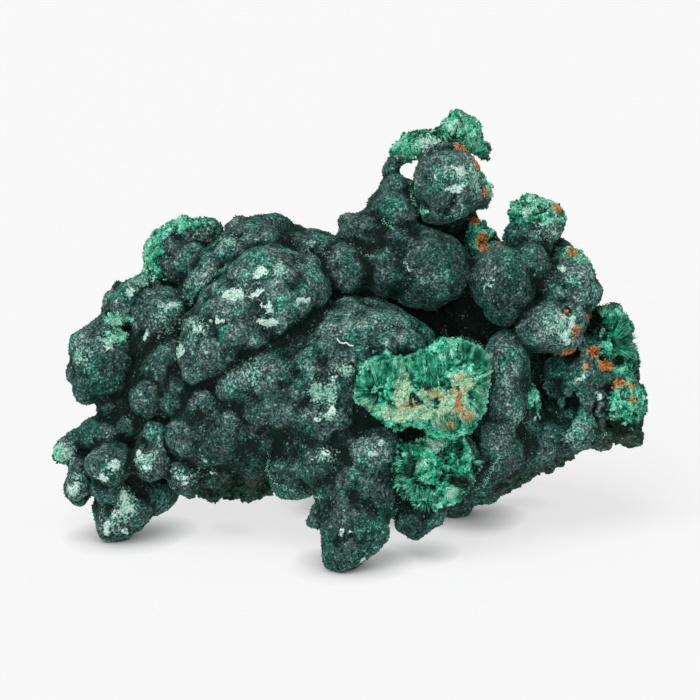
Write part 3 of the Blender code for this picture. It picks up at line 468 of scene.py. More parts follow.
ROCK_ZONES = (  # dark, rough, brownish rock under the crust
    LEDGE_ROCK,
    (44.5, 17.8, 0, 6, 3.2, 8, 1), (29, 12, -6, 14, 5, 12, 0.8), (25, 20, -20, 17, 13, 9, 0.9),
    (-3, 17, -22, 17, 10, 8, 0.8), (-20, 9, 2, 10, 3.6, 8, 0.7),
)
DUSTY_ZONES = (  # grey dust lies thickest here
    (-14, 44, 12, 9, 6, 9, 1), (-20, 40, 12, 7, 7, 9, 0.8), (-18, 27, 14, 5, 5, 7, 0.8),
    (2, 36.5, 16, 9, 5, 9, 0.9), (-3, 27, 17, 8, 6, 9, 0.6), (9, 46, 11, 7, 4.5, 8, 0.6),
    (0, 47, 9, 5, 4, 8, 0.5), (23.5, 44.5, 12, 5, 4, 7, 0.8), (28, 47.5, 8, 4, 2.5, 7, 0.7),
    (37.5, 44, 6, 4.5, 5, 7, 1), (-45, 33, 6, 4, 4, 7, 0.5), (33, 36, 11, 5, 4.5, 7, 1),
    (16.5, 60.5, 10, 5, 4.5, 7, 0.9), (7, 57, 4, 3, 3, 6, 0.5), (24.8, 26.5, 12, 2.6, 4, 6, 1),
    (25, 19, 12, 5, 3.5, 6, 0.7), (3, 15, 18, 5, 4, 7, 0.8), (-32, 38, 7, 4, 3.5, 7, 0.7),
    (38.6, 18, 6, 2.6, 3.4, 6, 1),
)
RECESSES = (  # where little light gets in
    (18, 37.6, 2, 7.5, 3.6, 6, 1), (10, 18.4, 10, 2.4, 2.4, 5, 1), (32.6, 27.5, -1, 1.6, 3.6, 4, 0.9),
)
DIM_ZONES = (  # little dust and a dark nap
    (8, 45.5, 10, 11, 6, 9, 1), (25.5, 42, 12, 6, 6.5, 8, 0.9), (28, 48.5, 6, 4.5, 4, 8, 0.5),
    (0, 7, 18, 9, 13, 9, 0.6), (-43, 28.5, 4, 6, 8, 9, 0.6), (-38.5, 12, 4, 9, 11, 9, 0.4),
    (7.5, 54, 4, 6, 6, 9, 0.25), (-22, 16, 9, 11, 8, 9, 0.6), (-14, 21, 12, 8, 6, 9, 0.4),
    (-32, 28, 6, 6, 8, 9, 0.4), (-5, 48, 6, 7, 5, 9, 0.3), (25, 19, 11, 7, 9, 9, 0.3),
    (13, 58, 8, 3, 5, 9, 0.5),
)
DEEP_ZONES = (  # dark emerald velvet with little dust on it
    (-38, 9, 0, 9, 4, 9, 0.8), (34, 24, 0, 5, 9, 9, 1), (-40, 21, 1, 5, 4, 8, 0.8),
    (14, 52.5, 1, 5, 2.5, 8, 1), (-42, 25.5, 4, 6, 3, 8, 0.7), (-34, 27, 2, 4, 6, 8, 0.6),
    (-20, 13, 6, 10, 5, 12, 0.8), (-10, 17, 12, 6, 5, 12, 0.5), (11, 4, 12, 6, 5, 12, 1),
    (1, 0, 18, 7, 6, 12, 0.6), (24, 8, 0, 10, 6, 16, 1), (16, 38, 4, 8, 4, 9, 1),
    (-20, 25, -20, 26, 24, 12, 0.5), (20, 30, -20, 26, 30, 12, 0.5), (13.8, 12.4, 16.5, 7.5, 7, 6, 0.7),
    (44, 33.5, 0, 5, 8, 7, 0.8),
)
# Hollows in the surface: a zone as above, with how deep it is in millimetres in place of its strength.
PITS = (
    *layer(22, 2, (
        (13, 25, 0.7, 0.6, 0.45), (7.2, 25.6, 0.5, 0.4, 0.8), (20.8, 23.1, 0.8, 0.35, 1.3),
        (13.6, 22.2, 0.9, 0.6, 0.4), (3.6, 23.4, 0.5, 0.5, 0.9),
    )),
    (41.6, 36, 1.5, 1.9, 2.6, 5, 3), (44.6, 30.2, 2, 1.6, 1.2, 5, 2.6), (36.6, 31.6, 5, 1.4, 0.9, 5, 1.6),
    (35.8, 38.4, 11, 0.9, 0.8, 4, 0.9), (45, 18.6, 2.5, 2.4, 1.2, 5, 2.4), (9.9, 18, 16, 2, 1.9, 6, 4),
    (17.8, 10.2, 17, 2.1, 1.3, 5, 1.6), (12.4, 9.3, 17, 1.8, 0.6, 4, 1.3),
    (14.6, 14.4, 17, 1.3, 0.8, 4, 1.6), (17.6, 15.6, 17, 0.9, 1.5, 4, 1.7),
    (14.8, 11.4, 17, 0.7, 1.1, 4, 1.2), (9.2, 12.6, 16, 0.6, 1.6, 4, 1.2),
    (11.4, 16.4, 16, 1.3, 0.8, 4, 1.8), (20, 12.6, 15, 0.8, 1.5, 4, 1.5),
)


def to_specimen():
    """Turns (across, up, proud) in millimetres into the specimen's own X, Y and Z in metres."""
    lean, upright = math.sin(FACE_LEAN), math.cos(FACE_LEAN)
    turn = Matrix(((1, 0, 0), (0, lean, -upright), (0, upright, lean))).to_4x4()
    return Matrix.Scale(MM, 4) @ turn


FACE = to_specimen()
FACE_TURN = np.array(FACE.to_3x3()) / MM
SHIFT = np.array(TO_ORIGIN)
OUT = FACE_TURN[:, 2]  # straight out of the display face


def on_face(points):
    """Where points of the finished specimen lie on the display face, in millimetres."""
    return (points - SHIFT) @ FACE_TURN / MM


def off_face(places):
    """Places on the display face as points of the finished specimen."""
    return places * MM @ FACE_TURN.T + SHIFT


def lobe_matrix(lobe):
    across, up, proud, wide, tall, deep, turn = lobe
    place = Matrix.Translation((across, up, proud))
    spin = Matrix.Rotation(math.radians(turn), 4, "Z")
    return place @ spin @ Matrix.Diagonal((wide, tall, deep, 1))


def link(name, data):
    thing = bpy.data.objects.new(name, data)
    bpy.context.scene.collection.objects.link(thing)
    return thing


def evaluated(thing):
    """The object's mesh as its modifiers leave it; the object itself is dropped."""
    graph = bpy.context.evaluated_depsgraph_get()
    data = bpy.data.meshes.new_from_object(thing.evaluated_get(graph))
    bpy.data.objects.remove(thing)
    return data


def read(items, name, width, kind=np.float64):
    values = np.empty(len(items) * width, np.float32 if kind == np.float64 else kind)
    items.foreach_get(name, values)
    return values.reshape(-1, width).astype(kind) if width > 1 else values.astype(kind)


def points_of(data):
    return read(data.vertices, "co", 3)


def normals_of(data):
    return read(data.vertex_normals, "vector", 3)


def put_points(data, points):
    data.vertices.foreach_set("co", points.astype(np.float32).ravel())
    data.update()


class Pile:
    """Closed shapes thrown together, as one list of points and one of faces."""

    def __init__(self):
        self.points = []
        self.faces = []

    def add(self, points, faces):
        first = len(self.points)
        self.points.extend(points)
        self.faces.extend(tuple(first + corner for corner in face) for face in faces)

    def add_ball(self, ball, matrix):
        points, faces = ball
        self.add((points @ np.array(matrix.to_3x3()).T + np.array(matrix.translation)).tolist(), faces)

    def add_mesh(self, data):
        self.add(points_of(data).tolist(), [tuple(face.vertices) for face in data.polygons])

    def fused(self, blend_rounds=0):
        """One skin round everything that overlaps, its creases smoothed over if it is to be blended."""
        data = bpy.data.meshes.new("grown")
        data.from_pydata(self.points, [], self.faces)
        thing = link("grown", data)
        grow = thing.modifiers.new("grow_together", "REMESH")
        grow.mode = "VOXEL"
        grow.voxel_size = BODY_VOXEL
        if blend_rounds:
            flow = thing.modifiers.new("flow_together", "SMOOTH")
            flow.factor = BLEND_FACTOR
            flow.iterations = blend_rounds
        return evaluated(thing)


def unit_ball(subdivisions):
    """The points and faces of an icosphere of radius 1."""
    mesh = bmesh.new()
    bmesh.ops.create_icosphere(mesh, subdivisions=subdivisions, radius=1)
    points = np.array([tuple(vertex.co) for vertex in mesh.verts])
    faces = [tuple(vertex.index for vertex in face.verts) for face in mesh.faces]
    mesh.free()
    return points, faces


def add_stub(pile, outline, heart, steps):
    """A broken-off stalk: rings of its outline, stepped forward and drawn in to its heart."""
    points = []
    for proud, share in steps:
        for across, up in outline:
            drawn_in = [middle + share * (place - middle) for place, middle in zip((across, up), heart)]
            points.append(tuple(FACE @ Vector((*drawn_in, proud))))
    count = len(outline)
    last = count * (len(steps) - 1)
    faces = [tuple(range(count)), tuple(reversed(range(last, last + count)))]
    for ring in range(0, last, count):
        for i in range(count):
            j = (i + 1) % count
            faces.append((ring + i, ring + count + i, ring + count + j, ring + j))
    pile.add(points, faces)


def add_shards(pile, ball, bed, count, smallest, largest, facing, dice):
    """Angular pieces of split rock, half sunk in the side of the bed lobe that faces the given way."""
    facing = Vector(facing).normalized()
    placed = 0
    while placed < count:
        way = Vector((dice.gauss(0, 1), dice.gauss(0, 1), dice.gauss(0, 1))).normalized()
        if way.dot(facing) < 0:
            continue
        size = dice.uniform(smallest, largest)
        stretch = [dice.uniform(least, most) * size for least, most in SHARD_STRETCH]
        spin = Matrix.Rotation(dice.uniform(0, math.tau), 4, "Z")
        lean = way.to_track_quat("Z", "Y").to_matrix().to_4x4()
        tilt = Matrix.Rotation(dice.uniform(-SHARD_TILT, SHARD_TILT), 4, "X")
        seat = Matrix.Translation(lobe_matrix(bed) @ way)
        pile.add_ball(ball, FACE @ seat @ lean @ tilt @ spin @ Matrix.Diagonal((*stretch, 1)))
        placed += 1


def grown_pile():
    """Every mass, with the bedrock, stubs, shards and chips, still overlapping."""
    pile = Pile()
    ball, shard = unit_ball(BALL_SUBDIVISIONS), unit_ball(SHARD_SUBDIVISIONS)
    rounds = round((BLEND_REACH / BODY_VOXEL) ** 2)
    for lobes in MASSES.values():
        mass = Pile()
        for lobe in lobes.values():
            mass.add_ball(ball, FACE @ lobe_matrix(lobe))
        pile.add_mesh(mass.fused(rounds))
    for lobe in BEDROCK.values():
        pile.add_ball(ball, FACE @ lobe_matrix(lobe))
    for outline, heart, steps in STUBS:
        add_stub(pile, outline, heart, steps)
    for beds, seed in ((SHARD_BEDS, SHARD_SEED), (CHIP_BEDS, CHIP_SEED)):
        dice = random.Random(seed)
        for bed, count, smallest, largest, facing in beds:
            add_shards(pile, shard, bed, count, smallest, largest, facing, dice)
    return pile


def keep_outer_skin(data):
    """Drops the skins of hollows sealed inside the stone."""
    count = len(data.vertices)
    edges = read(data.edges, "vertices", 2, np.int32)
    label = np.arange(count)
    while True:
        low = np.minimum(label[edges[:, 0]], label[edges[:, 1]])
        new = label.copy()
        np.minimum.at(new, edges[:, 0], low)
        np.minimum.at(new, edges[:, 1], low)
        new = new[new]
        if (new == label).all():
            break
        label = new
    outer = np.bincount(label).argmax()
    mesh = bmesh.new()
    mesh.from_mesh(data)
    inner = [vertex for vertex in mesh.verts if label[vertex.index] != outer]
    bmesh.ops.delete(mesh, geom=inner, context="VERTS")
    mesh.to_mesh(data)
    mesh.free()


def noise_at(points, wave, shift=0.0):
    """Soft noise from -1 to 1 at points in millimetres, with lumps about one wave apart."""
    return np.array([noise.noise(p) for p in (points / wave + shift).tolist()])


def cells_at(points, wave, shift=0.0):
    """Distances to the two nearest of scattered seeds one wave apart, as shares of the wave."""
    rows = [noise.voronoi(p)[0] for p in (points / wave + shift).tolist()]
    return np.array([row[0] for row in rows]), np.array([row[1] for row in rows])


def smooth_step(values, low, high):
    t = np.clip((values - low) / (high - low), 0.0, 1.0)
    return t * t * (3 - 2 * t)


def zone_weight(places, zones, soft=0.45):
    """How far each place lies in any of the zones: its strength in the middle, nothing beyond the edge."""
    weight = np.zeros(len(places))
    for zone in zones:
        reach = np.sqrt((((places - zone[:3]) / zone[3:6]) ** 2).sum(axis=1))
        weight = np.maximum(weight, zone[6] * (1 - smooth_step(reach, 1 - soft, 1 + soft)))
    return weight


def spread_out(data, values, rounds):
    """The values at the mesh's points, averaged with their neighbours' again and again."""
    edges = read(data.edges, "vertices", 2, np.int32)
    ends = np.concatenate([edges[:, 0], edges[:, 1]])
    others = np.concatenate([edges[:, 1], edges[:, 0]])
    valence = np.bincount(ends, minlength=len(values))[:, None]
    for _ in range(rounds):
        total = [np.bincount(ends, values[others, k], len(values)) for k in range(values.shape[1])]
        values = np.stack(total, axis=1) / valence
    return values


def cavity(data, points, normals, rounds):
    """How deep each point lies below its smoothed surroundings, in millimetres."""
    return ((spread_out(data, points, rounds) - points) * normals).sum(axis=1) / MM


def weather(data):
    """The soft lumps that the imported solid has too."""
    points = points_of(data)
    swell = sum(height * noise_at(points / MM, wave) for wave, height in LUMPS)
    put_points(data, points + normals_of(data) * swell[:, None] * MM)


# The fine relief: how far apart its parts are and how high, in millimetres.
KNOB_WAVE = 3.6
KNOB_HEIGHT = 0.36
KNOB_PATCHES = 0.46  # how much higher the knobs are in patches
PATCH_WAVE = 9.0
BEND = 0.9  # how far the pattern of knobs is bent
BEND_WAVE = 2.6
BEAD_WAVE = 1.25
BEAD_HEIGHT = 0.14
GRAIN_WAVE = 0.62
GRAIN_HEIGHT = 0.09
CHIP_WAVE = 1.7
CHIP_HEIGHT = 0.4
CRACK_WIDTH = 0.22  # as a share of the beads' wave
CRACK_DEPTH = 0.5
ROUGH_HEIGHT = 0.35  # of the beads and of the grain where the crust is broken
SOFT_SINK = 0.46  # sets the surface back to where it lay before the relief
ROUGH_SINK = 0.65
PIT_EDGE = 0.4


def bent_by(places, wave, reach, shifts):
    """The places moved about by soft noise, which makes regular shapes ragged."""
    return places + reach * np.stack([noise_at(places, wave, shift) for shift in shifts], axis=1)


def dome_over(distance, reach):
    """A round bump over each seed, 1 high, that ends where the distance is the reach."""
    return np.clip(1 - (distance / reach) ** 2, 0, 1)


def fine_relief(places):
    """How far the surface stands out: knobs and velvet grain on the lobes, chips where they are broken."""
    rough = np.maximum(zone_weight(places, FRESH_ZONES), zone_weight(places, ROCK_ZONES))
    rough = np.clip(rough, 0, 1)
    bent = bent_by(places, BEND_WAVE, BEND, (21.3, 37.9, 55.1))
    patchy = smooth_step(noise_at(places, PATCH_WAVE, 11.3), -0.45, 0.4)
    knobs = dome_over(cells_at(bent, KNOB_WAVE, 3.1)[0], 0.8)
    first, second = cells_at(places, BEAD_WAVE, 7.7)
    beads = dome_over(first, 0.75)
    grain = noise_at(places, GRAIN_WAVE, 5.5)
    knobby = (KNOB_HEIGHT + KNOB_PATCHES * patchy) * knobs
    soft = knobby + BEAD_HEIGHT * beads + GRAIN_HEIGHT * grain - SOFT_SINK
    cracks = CRACK_DEPTH * smooth_step(second - first, 0.0, CRACK_WIDTH)
    chips = CHIP_HEIGHT * noise_at(places, CHIP_WAVE, 2.2)
    hard = cracks + ROUGH_HEIGHT * beads + ROUGH_HEIGHT * grain + chips - ROUGH_SINK
    return (1 - rough) * soft + rough * hard


def texture_surface(data):
    """Raises the fine relief, and sinks the pits straight into the display face."""
    points = points_of(data)
    places = on_face(points)
    holes = [((*pit[:6], 1.0), pit[6]) for pit in PITS]
    sunk = zone_weight(places, [zone for zone, _ in holes], PIT_EDGE)
    deep = np.zeros(len(places))
    for zone, depth in holes:
        deep = np.maximum(deep, depth * zone_weight(places, [zone], PIT_EDGE))
    swell = (1 - sunk) * fine_relief(places)
    points += (normals_of(data) * swell[:, None] - OUT * deep[:, None]) * MM
    put_points(data, points)


def thin_out(data, most):
    data.calc_loop_triangles()
    count = len(data.loop_triangles)
    if count <= most:
        return data
    thing = link("thinning", data)
    fewer = thing.modifiers.new("fewer", "DECIMATE")
    fewer.ratio = most / count
    fewer.use_collapse_triangulate = True
    return evaluated(thing)


ZONE_RAGS = ((2.2, 0.9), (0.8, 0.35))  # how long the rags at a zone's edge are, and how deep
ZONE_KINDS = {  # the zones that the materials read, and how soft their edges are
    "fresh": (FRESH_ZONES, 0.45),
    "cream": (CREAM_ZONES, 0.3),
    "rust": (RUST_ZONES, 0.4),
    "bloom": (BLOOM_SPOTS, 0.4),
    "mint": (MINT_SPOTS, 0.8),
    "rock": (ROCK_ZONES, 0.45),
    "dusty": (DUSTY_ZONES, 0.8),
    "dim": (DIM_ZONES, 0.7),
    "deep": (DEEP_ZONES, 0.6),
}


def marks_at(places):
    """How strongly each place is in each kind of zone, with ragged edges to the zones."""
    for wave, reach in ZONE_RAGS:
        places = bent_by(places, wave, reach, (13.7, 29.1, 41.3))
    return {kind: zone_weight(places, *zones) for kind, zones in ZONE_KINDS.items()}


def put_marks(data, marks):
    for name, values in marks.items():
        attribute = data.attributes.new(name, "FLOAT", "POINT")
        attribute.data.foreach_set("value", values.astype(np.float32))


# The marks below paint shade into creases, recesses, wide hollows and between knobs, and light onto ridges,
# knob crowns and up-facing skin.
CREASE_ROUNDS = 7  # rounds of smoothing against which the creases show
PEBBLE_ROUNDS = 13  # the same for the knobs
HOLLOW_ROUNDS = 20  # the same for the wide hollows between lobes
PEBBLE_HEIGHT = 0.2  # a knob this high, in millimetres, counts in full
SKY_ROUNDS = 3  # of smoothing, of how far the skin faces up
# How deep or high a place has to be, in millimetres, for a mark to start, and for it to count in full.
CREASE_DEPTHS = (0.12, 0.36)
HOLLOW_DEPTHS = (0.15, 0.9)
RIDGE_HEIGHTS = (0.02, 0.5)


def paint_body(data):
    """Point attributes that the stone's material reads, painted shade and painted light among them."""
    points, normals = points_of(data), normals_of(data)
    crease = cavity(data, points, normals, CREASE_ROUNDS)
    hollow_shade = cavity(data, points, normals, HOLLOW_ROUNDS)
    marks = marks_at(on_face(points))
    shut = zone_weight(on_face(points), RECESSES)
    # Painted shade: creases and recesses are painted dark, near-black in the velvet.
    marks["hollow_shade"] = np.maximum(smooth_step(crease, *CREASE_DEPTHS), shut)
    marks["shade"] = smooth_step(hollow_shade, *HOLLOW_DEPTHS)
    # Painted light: convex ridges are painted lighter.
    marks["ridge_light"] = smooth_step(-hollow_shade, *RIDGE_HEIGHTS)
    # Painted light and shade: knob crowns are painted lighter, the gaps between them darker.
    marks["knob_shading"] = np.clip(cavity(data, points, normals, PEBBLE_ROUNDS) / -PEBBLE_HEIGHT, -1, 1)
    # Painted light and shade: skin that faces up is painted lighter, undersides darker.
    marks["sky"] = spread_out(data, normals[:, 2:], SKY_ROUNDS)[:, 0]
    put_marks(data, marks)


def make_body():
    data = grown_pile().fused()
    keep_outer_skin(data)
    weather(data)
    data.transform(Matrix.Translation(TO_ORIGIN))
    texture_surface(data)
    points = points_of(data)
    points[:, 2] = np.maximum(points[:, 2], 0.0)
    put_points(data, points)
    data = thin_out(data, BODY_TRIANGLES)
    paint_body(data)
    data.shade_smooth()
    data.name = "malachite_body"
    return link("malachite_body", data)


class Nodes:
    """Builds a material's node tree with few words."""

    def __init__(self, name):
        self.material = bpy.data.materials.new(name)
        self.material.use_nodes = True
        self.tree = self.material.node_tree
        self.surface = self.tree.nodes["Principled BSDF"]
        self.place = self.tree.nodes.new("ShaderNodeTexCoord").outputs["Object"]

    def put(self, socket, value):
        if isinstance(value, bpy.types.NodeSocket):
            self.tree.links.new(value, socket)
        else:
            socket.default_value = value

    def noise(self, size, detail=2.0, roughness=0.5, warp=0.0):
        """Noise with lumps about `size` metres across."""
        node = self.tree.nodes.new("ShaderNodeTexNoise")
        self.put(node.inputs["Vector"], self.place)
        node.inputs["Scale"].default_value = 1 / size
        node.inputs["Detail"].default_value = detail
        node.inputs["Roughness"].default_value = roughness
        node.inputs["Distortion"].default_value = warp
        return node.outputs["Fac"]

    def mark(self, name):
        node = self.tree.nodes.new("ShaderNodeAttribute")
        node.attribute_name = name
        return node.outputs["Fac"]

    def math(self, operation, a, b):
        node = self.tree.nodes.new("ShaderNodeMath")
        node.operation = operation
        self.put(node.inputs[0], a)
        self.put(node.inputs[1], b)
        return node.outputs[0]

    def sum(self, first, *rest):
        for value in rest:
            first = self.math("ADD", first, value)
        return first

    def span(self, value, low, high, out_low=0.0, out_high=1.0):
        """The value stretched so that low..high becomes out_low..out_high, and held there."""
        node = self.tree.nodes.new("ShaderNodeMapRange")
        self.put(node.inputs["Value"], value)
        self.put(node.inputs["From Min"], low)
        self.put(node.inputs["From Max"], high)
        self.put(node.inputs["To Min"], out_low)
        self.put(node.inputs["To Max"], out_high)
        return node.outputs["Result"]

    def swing(self, value, reach):
        """A noise as a push down or up by the reach: nearly all of its values lie from 0.3 to 0.7."""
        return self.span(value, 0.3, 0.7, -reach, reach)

    def ragged(self, mark, value, reach):
        """A point attribute unsettled by noise, which breaks up the edge of a painted zone."""
        return self.math("ADD", self.mark(mark), self.swing(value, reach))

    def of_mark(self, mark, most, low=0):
        """What a point attribute adds: the most at 1, and as much the other way at a low of -1."""
        return self.span(self.mark(mark), low, 1, low * most, most)

    def mix(self, share, a, b):
        node = self.tree.nodes.new("ShaderNodeMix")
        node.data_type = "RGBA"
        factor, first, second = (socket for socket in node.inputs if socket.enabled)
        self.put(factor, share)
        self.put(first, a)
        self.put(second, b)
        return next(socket for socket in node.outputs if socket.enabled)

    def ramp(self, value, stops):
        node = self.tree.nodes.new("ShaderNodeValToRGB")
        self.put(node.inputs["Fac"], value)
        ramp = node.color_ramp
        for spot, _ in stops[2:]:
            ramp.elements.new(spot)
        for element, (spot, colour) in zip(ramp.elements, stops):
            element.position = spot
            element.color = rgb(*colour)
        return node.outputs["Color"]

    def bump(self, height, distance, strength=1.0):
        node = self.tree.nodes.new("ShaderNodeBump")
        self.put(node.inputs["Height"], height)
        node.inputs["Distance"].default_value = distance
        node.inputs["Strength"].default_value = strength
        return node.outputs["Normal"]

    def finished(self, colour, roughness, specular=0.5):
        """The material, once its surface has its colour and its shine."""
        self.put(self.surface.inputs["Base Color"], colour)
        self.put(self.surface.inputs["Roughness"], roughness)
        self.put(self.surface.inputs["Specular IOR Level"], specular)
        return self.material


def rgb(red, green, blue):
    """A colour from its sRGB values, 0 to 255."""
    linear = []
    for value in (red, green, blue):
        share = value / 255
        linear.append(share / 12.92 if share <= 0.04045 else ((share + 0.055) / 1.055) ** 2.4)
    return (*linear, 1.0)


# How light the velvet is, from bare black-green to thick pale dust, for its grey and its teal patches.
GREY_VELVET = (
    (0.0, (3, 22, 17)), (0.2, (20, 45, 40)), (0.42, (52, 76, 72)),
    (0.58, (78, 101, 97)), (0.78, (126, 157, 150)), (1.0, (208, 230, 222)),
)
TEAL_VELVET = (
    (0.0, (2, 26, 20)), (0.2, (11, 50, 43)), (0.42, (33, 82, 72)),
    (0.58, (54, 114, 101)), (0.78, (92, 180, 158)), (1.0, (182, 238, 218)),
)
# How much each point attribute lightens the velvet.  The first two go both ways.  The marks from the skin's
# shape and slope are painted light and shade: lighter knob crowns, ridges and up-facing skin, darker gaps,
# creases, hollows and undersides.
TWO_WAY_MARKS = (("knob_shading", 0.17), ("sky", 0.05))
VELVET_MARKS = (
    ("ridge_light", 0.05), ("hollow_shade", -0.3), ("shade", -0.13), ("dusty", 0.11), ("dim", -0.15), ("deep", -0.08),
)
# The silky greens, from the dark between the fibres to their pale ends.
SILK_ON_STONE = ((0.26, (0, 30, 22)), (0.38, (1, 104, 78)), (0.5, (26, 184, 144)), (0.66, (160, 248, 216)))
SILK_ON_FIBRES = ((0.0, (0, 32, 24)), (0.28, (1, 104, 78)), (0.58, (34, 184, 144)), (1.0, (200, 254, 230)))
CREAM = ((0.3, (76, 164, 128)), (0.44, (146, 214, 176)), (0.6, (226, 240, 204)))


def velvet_colour(n, speck, coarse):
    """Near-black green velvet under grey and teal dust, with painted light on crowns, ridges and up-facing
    skin and painted shade in creases, hollows and on undersides.
    """
    level = n.sum(
        n.span(speck, 0.25, 0.75, -0.1, 0.64),
        n.span(coarse, 0.25, 0.75, -0.2, 0.2),
        n.span(n.noise(2.4 * MM, 3.0, 0.6, 0.6), 0.25, 0.75, -0.16, 0.16),
        n.span(n.noise(7.0 * MM, 2.0, 0.5), 0.25, 0.75, -0.1, 0.1),
        *(n.of_mark(mark, most, -1) for mark, most in TWO_WAY_MARKS),
        *(n.of_mark(mark, most) for mark, most in VELVET_MARKS),
    )
    tint = n.math("ADD", n.noise(4.5 * MM, 3.0, 0.6, 0.5), n.of_mark("deep", 0.09))
    velvet = n.mix(n.span(tint, 0.47, 0.63), n.ramp(level, GREY_VELVET), n.ramp(level, TEAL_VELVET))
    # Painted shade: the deepest creases and recesses go near-black.
    return n.mix(n.span(n.mark("hollow_shade"), 0.5, 1.0, 0.0, 0.8), velvet, rgb(2, 26, 18))


PATCHES = (1.9 * MM, 3.0, 0.6, 0.4)  # noises that stone and fibres share: size, detail, roughness, warp
CRUMBS = (0.9 * MM, 3.0, 0.7, 0.8)


def stone_colour(n):
    """The stone's colour wherever it is, from its painted zones, and the fine grain in it."""
    speck = n.noise(0.36 * MM, 2.0, 0.6)
    coarse = n.noise(0.9 * MM, 2.0, 0.6)
    patch = n.noise(*PATCHES)
    silk = n.noise(0.42 * MM, 2.5, 0.65, 0.8)
    crumbs = n.noise(*CRUMBS)
    colour = velvet_colour(n, speck, coarse)

    # Dark rough rock under the crust.
    earth = n.mix(n.span(coarse, 0.4, 0.62), rgb(5, 22, 16), rgb(38, 62, 50))
    earth = n.mix(n.span(patch, 0.52, 0.62), earth, rgb(12, 84, 58))
    earth = n.mix(n.span(n.noise(2.6 * MM, 3.0, 0.6), 0.5, 0.62, 0.0, 0.5), earth, rgb(84, 76, 64))
    rocky = n.span(n.ragged("rock", patch, 0.25), 0.45, 0.62, 0.0, 0.8)

    # Fresh breaks: bright silky green with dark gaps between the fibres.
    lit = n.sum(
        n.span(silk, 0.3, 0.7, 0.32, 0.58),
        n.swing(patch, 0.16),
        n.swing(n.noise(4.0 * MM, 2.0), 0.1),
        # Painted light and shade: knob crowns lighter, gaps and creases darker.
        n.of_mark("knob_shading", 0.07, -1),
        n.of_mark("hollow_shade", -0.2),
        n.of_mark("mint", 0.08),
        n.of_mark("deep", -0.05),
    )
    broken = n.span(n.ragged("fresh", patch, 0.22), 0.42, 0.58)
    colour = n.mix(rocky, n.mix(broken, colour, n.ramp(lit, SILK_ON_STONE)), earth)

    # The stub's pale heart, mint bloom and limonite.
    colour = n.mix(n.span(n.ragged("cream", patch, 0.3), 0.42, 0.66), colour, n.ramp(silk, CREAM))
    haze = n.sum(n.ragged("mint", patch, 0.3), n.swing(speck, 0.4))
    mint = n.mix(n.span(speck, 0.4, 0.62), rgb(96, 172, 148), rgb(182, 228, 210))
    colour = n.mix(n.span(haze, 0.35, 0.85, 0.0, 0.85), colour, mint)
    white = n.mix(n.span(speck, 0.36, 0.56), rgb(124, 190, 170), rgb(226, 248, 238))
    colour = n.mix(n.span(n.ragged("bloom", crumbs, 0.5), 0.56, 0.68, 0.0, 0.95), colour, white)
    rust = n.mix(n.span(coarse, 0.38, 0.62), rgb(168, 78, 28), rgb(238, 150, 78))
    rust = n.mix(n.span(n.mark("rust"), 0.55, 0.85), rgb(216, 186, 132), rust)
    colour = n.mix(n.span(n.ragged("rust", crumbs, 0.5), 0.5, 0.68), colour, rust)
    return colour, n.math("ADD", n.math("MULTIPLY", speck, 0.6), coarse)


VELVET_SHINE = 0.2


def velvet_sheen(n):
    n.surface.inputs["Sheen Weight"].default_value = 0.35
    n.surface.inputs["Sheen Roughness"].default_value = 0.25
    n.surface.inputs["Sheen Tint"].default_value = rgb(90, 200, 160)


def stone_material():
    n = Nodes("velvet_malachite")
    colour, grain = stone_colour(n)
    velvet_sheen(n)
    n.put(n.surface.inputs["Normal"], n.bump(grain, 0.3 * MM, 0.9))
    return n.finished(colour, n.span(grain, 0.6, 1.0, 0.95, 0.65), VELVET_SHINE)


def crystal_material(name):
    """The stone's own colour on a small crystal, darker or lighter by the crystal's tone."""
    n = Nodes(name)
    colour, _ = stone_colour(n)
    tone = n.mark("tone")
    colour = n.mix(n.span(tone, 0.0, 0.5, 0.35, 0.0), colour, rgb(3, 24, 18))
    colour = n.mix(n.span(tone, 0.6, 1.0, 0.0, 0.2), colour, rgb(160, 226, 204))
    velvet_sheen(n)
    return n.finished(colour, 0.6, VELVET_SHINE)


def fibre_material():
    """Silky green fibres, dark at the root and pale at the tip, stained where the stone is."""
    n = Nodes("silky_fibres")
    tone = n.sum(
        n.mark("tone"),
        n.swing(n.noise(0.7 * MM, 2.0), 0.15),
        n.span(n.noise(2.2 * MM, 2.0), 0.3, 0.7, -0.38, 0.2),
        n.of_mark("mint", 0.36),
        n.of_mark("bloom", 0.45),
        n.of_mark("deep", -0.16),
    )
    colour = n.ramp(tone, SILK_ON_FIBRES)
    pale = n.ragged("cream", n.noise(*PATCHES), 0.3)
    cream = n.mix(n.span(tone, 0.1, 0.8), rgb(92, 172, 134), rgb(212, 242, 208))
    colour = n.mix(n.span(pale, 0.5, 0.8, 0.0, 0.7), colour, cream)
    rusty = n.ragged("rust", n.noise(*CRUMBS), 0.5)
    colour = n.mix(n.span(rusty, 0.5, 0.68), colour, rgb(222, 168, 104))
    return n.finished(colour, 0.45, 0.45)


def rust_material():
    n = Nodes("rusty_limonite")
    tone = n.ragged("tone", n.noise(0.5 * MM, 2.0), 0.3)
    colour = n.mix(n.span(tone, 0.0, 0.5), rgb(110, 50, 16), rgb(206, 104, 38))
    colour = n.mix(n.span(tone, 0.5, 1.0), colour, rgb(240, 168, 96))
    return n.finished(colour, 0.8, 0.2)


# The painted shade and light of the skin, which small things scattered on it take over.
SKIN_SHADING = ("hollow_shade", "shade", "knob_shading")
SIGHT_START = 60.0  # millimetres in front of the display face, beyond all of the stone
SCATTER_EDGE = 0.3  # how soft the edges of zones are for what is scattered in them


def within(places, zones):
    """A weight for scattering that keeps well inside the zones."""
    return zone_weight(places, zones, SCATTER_EDGE) ** 2


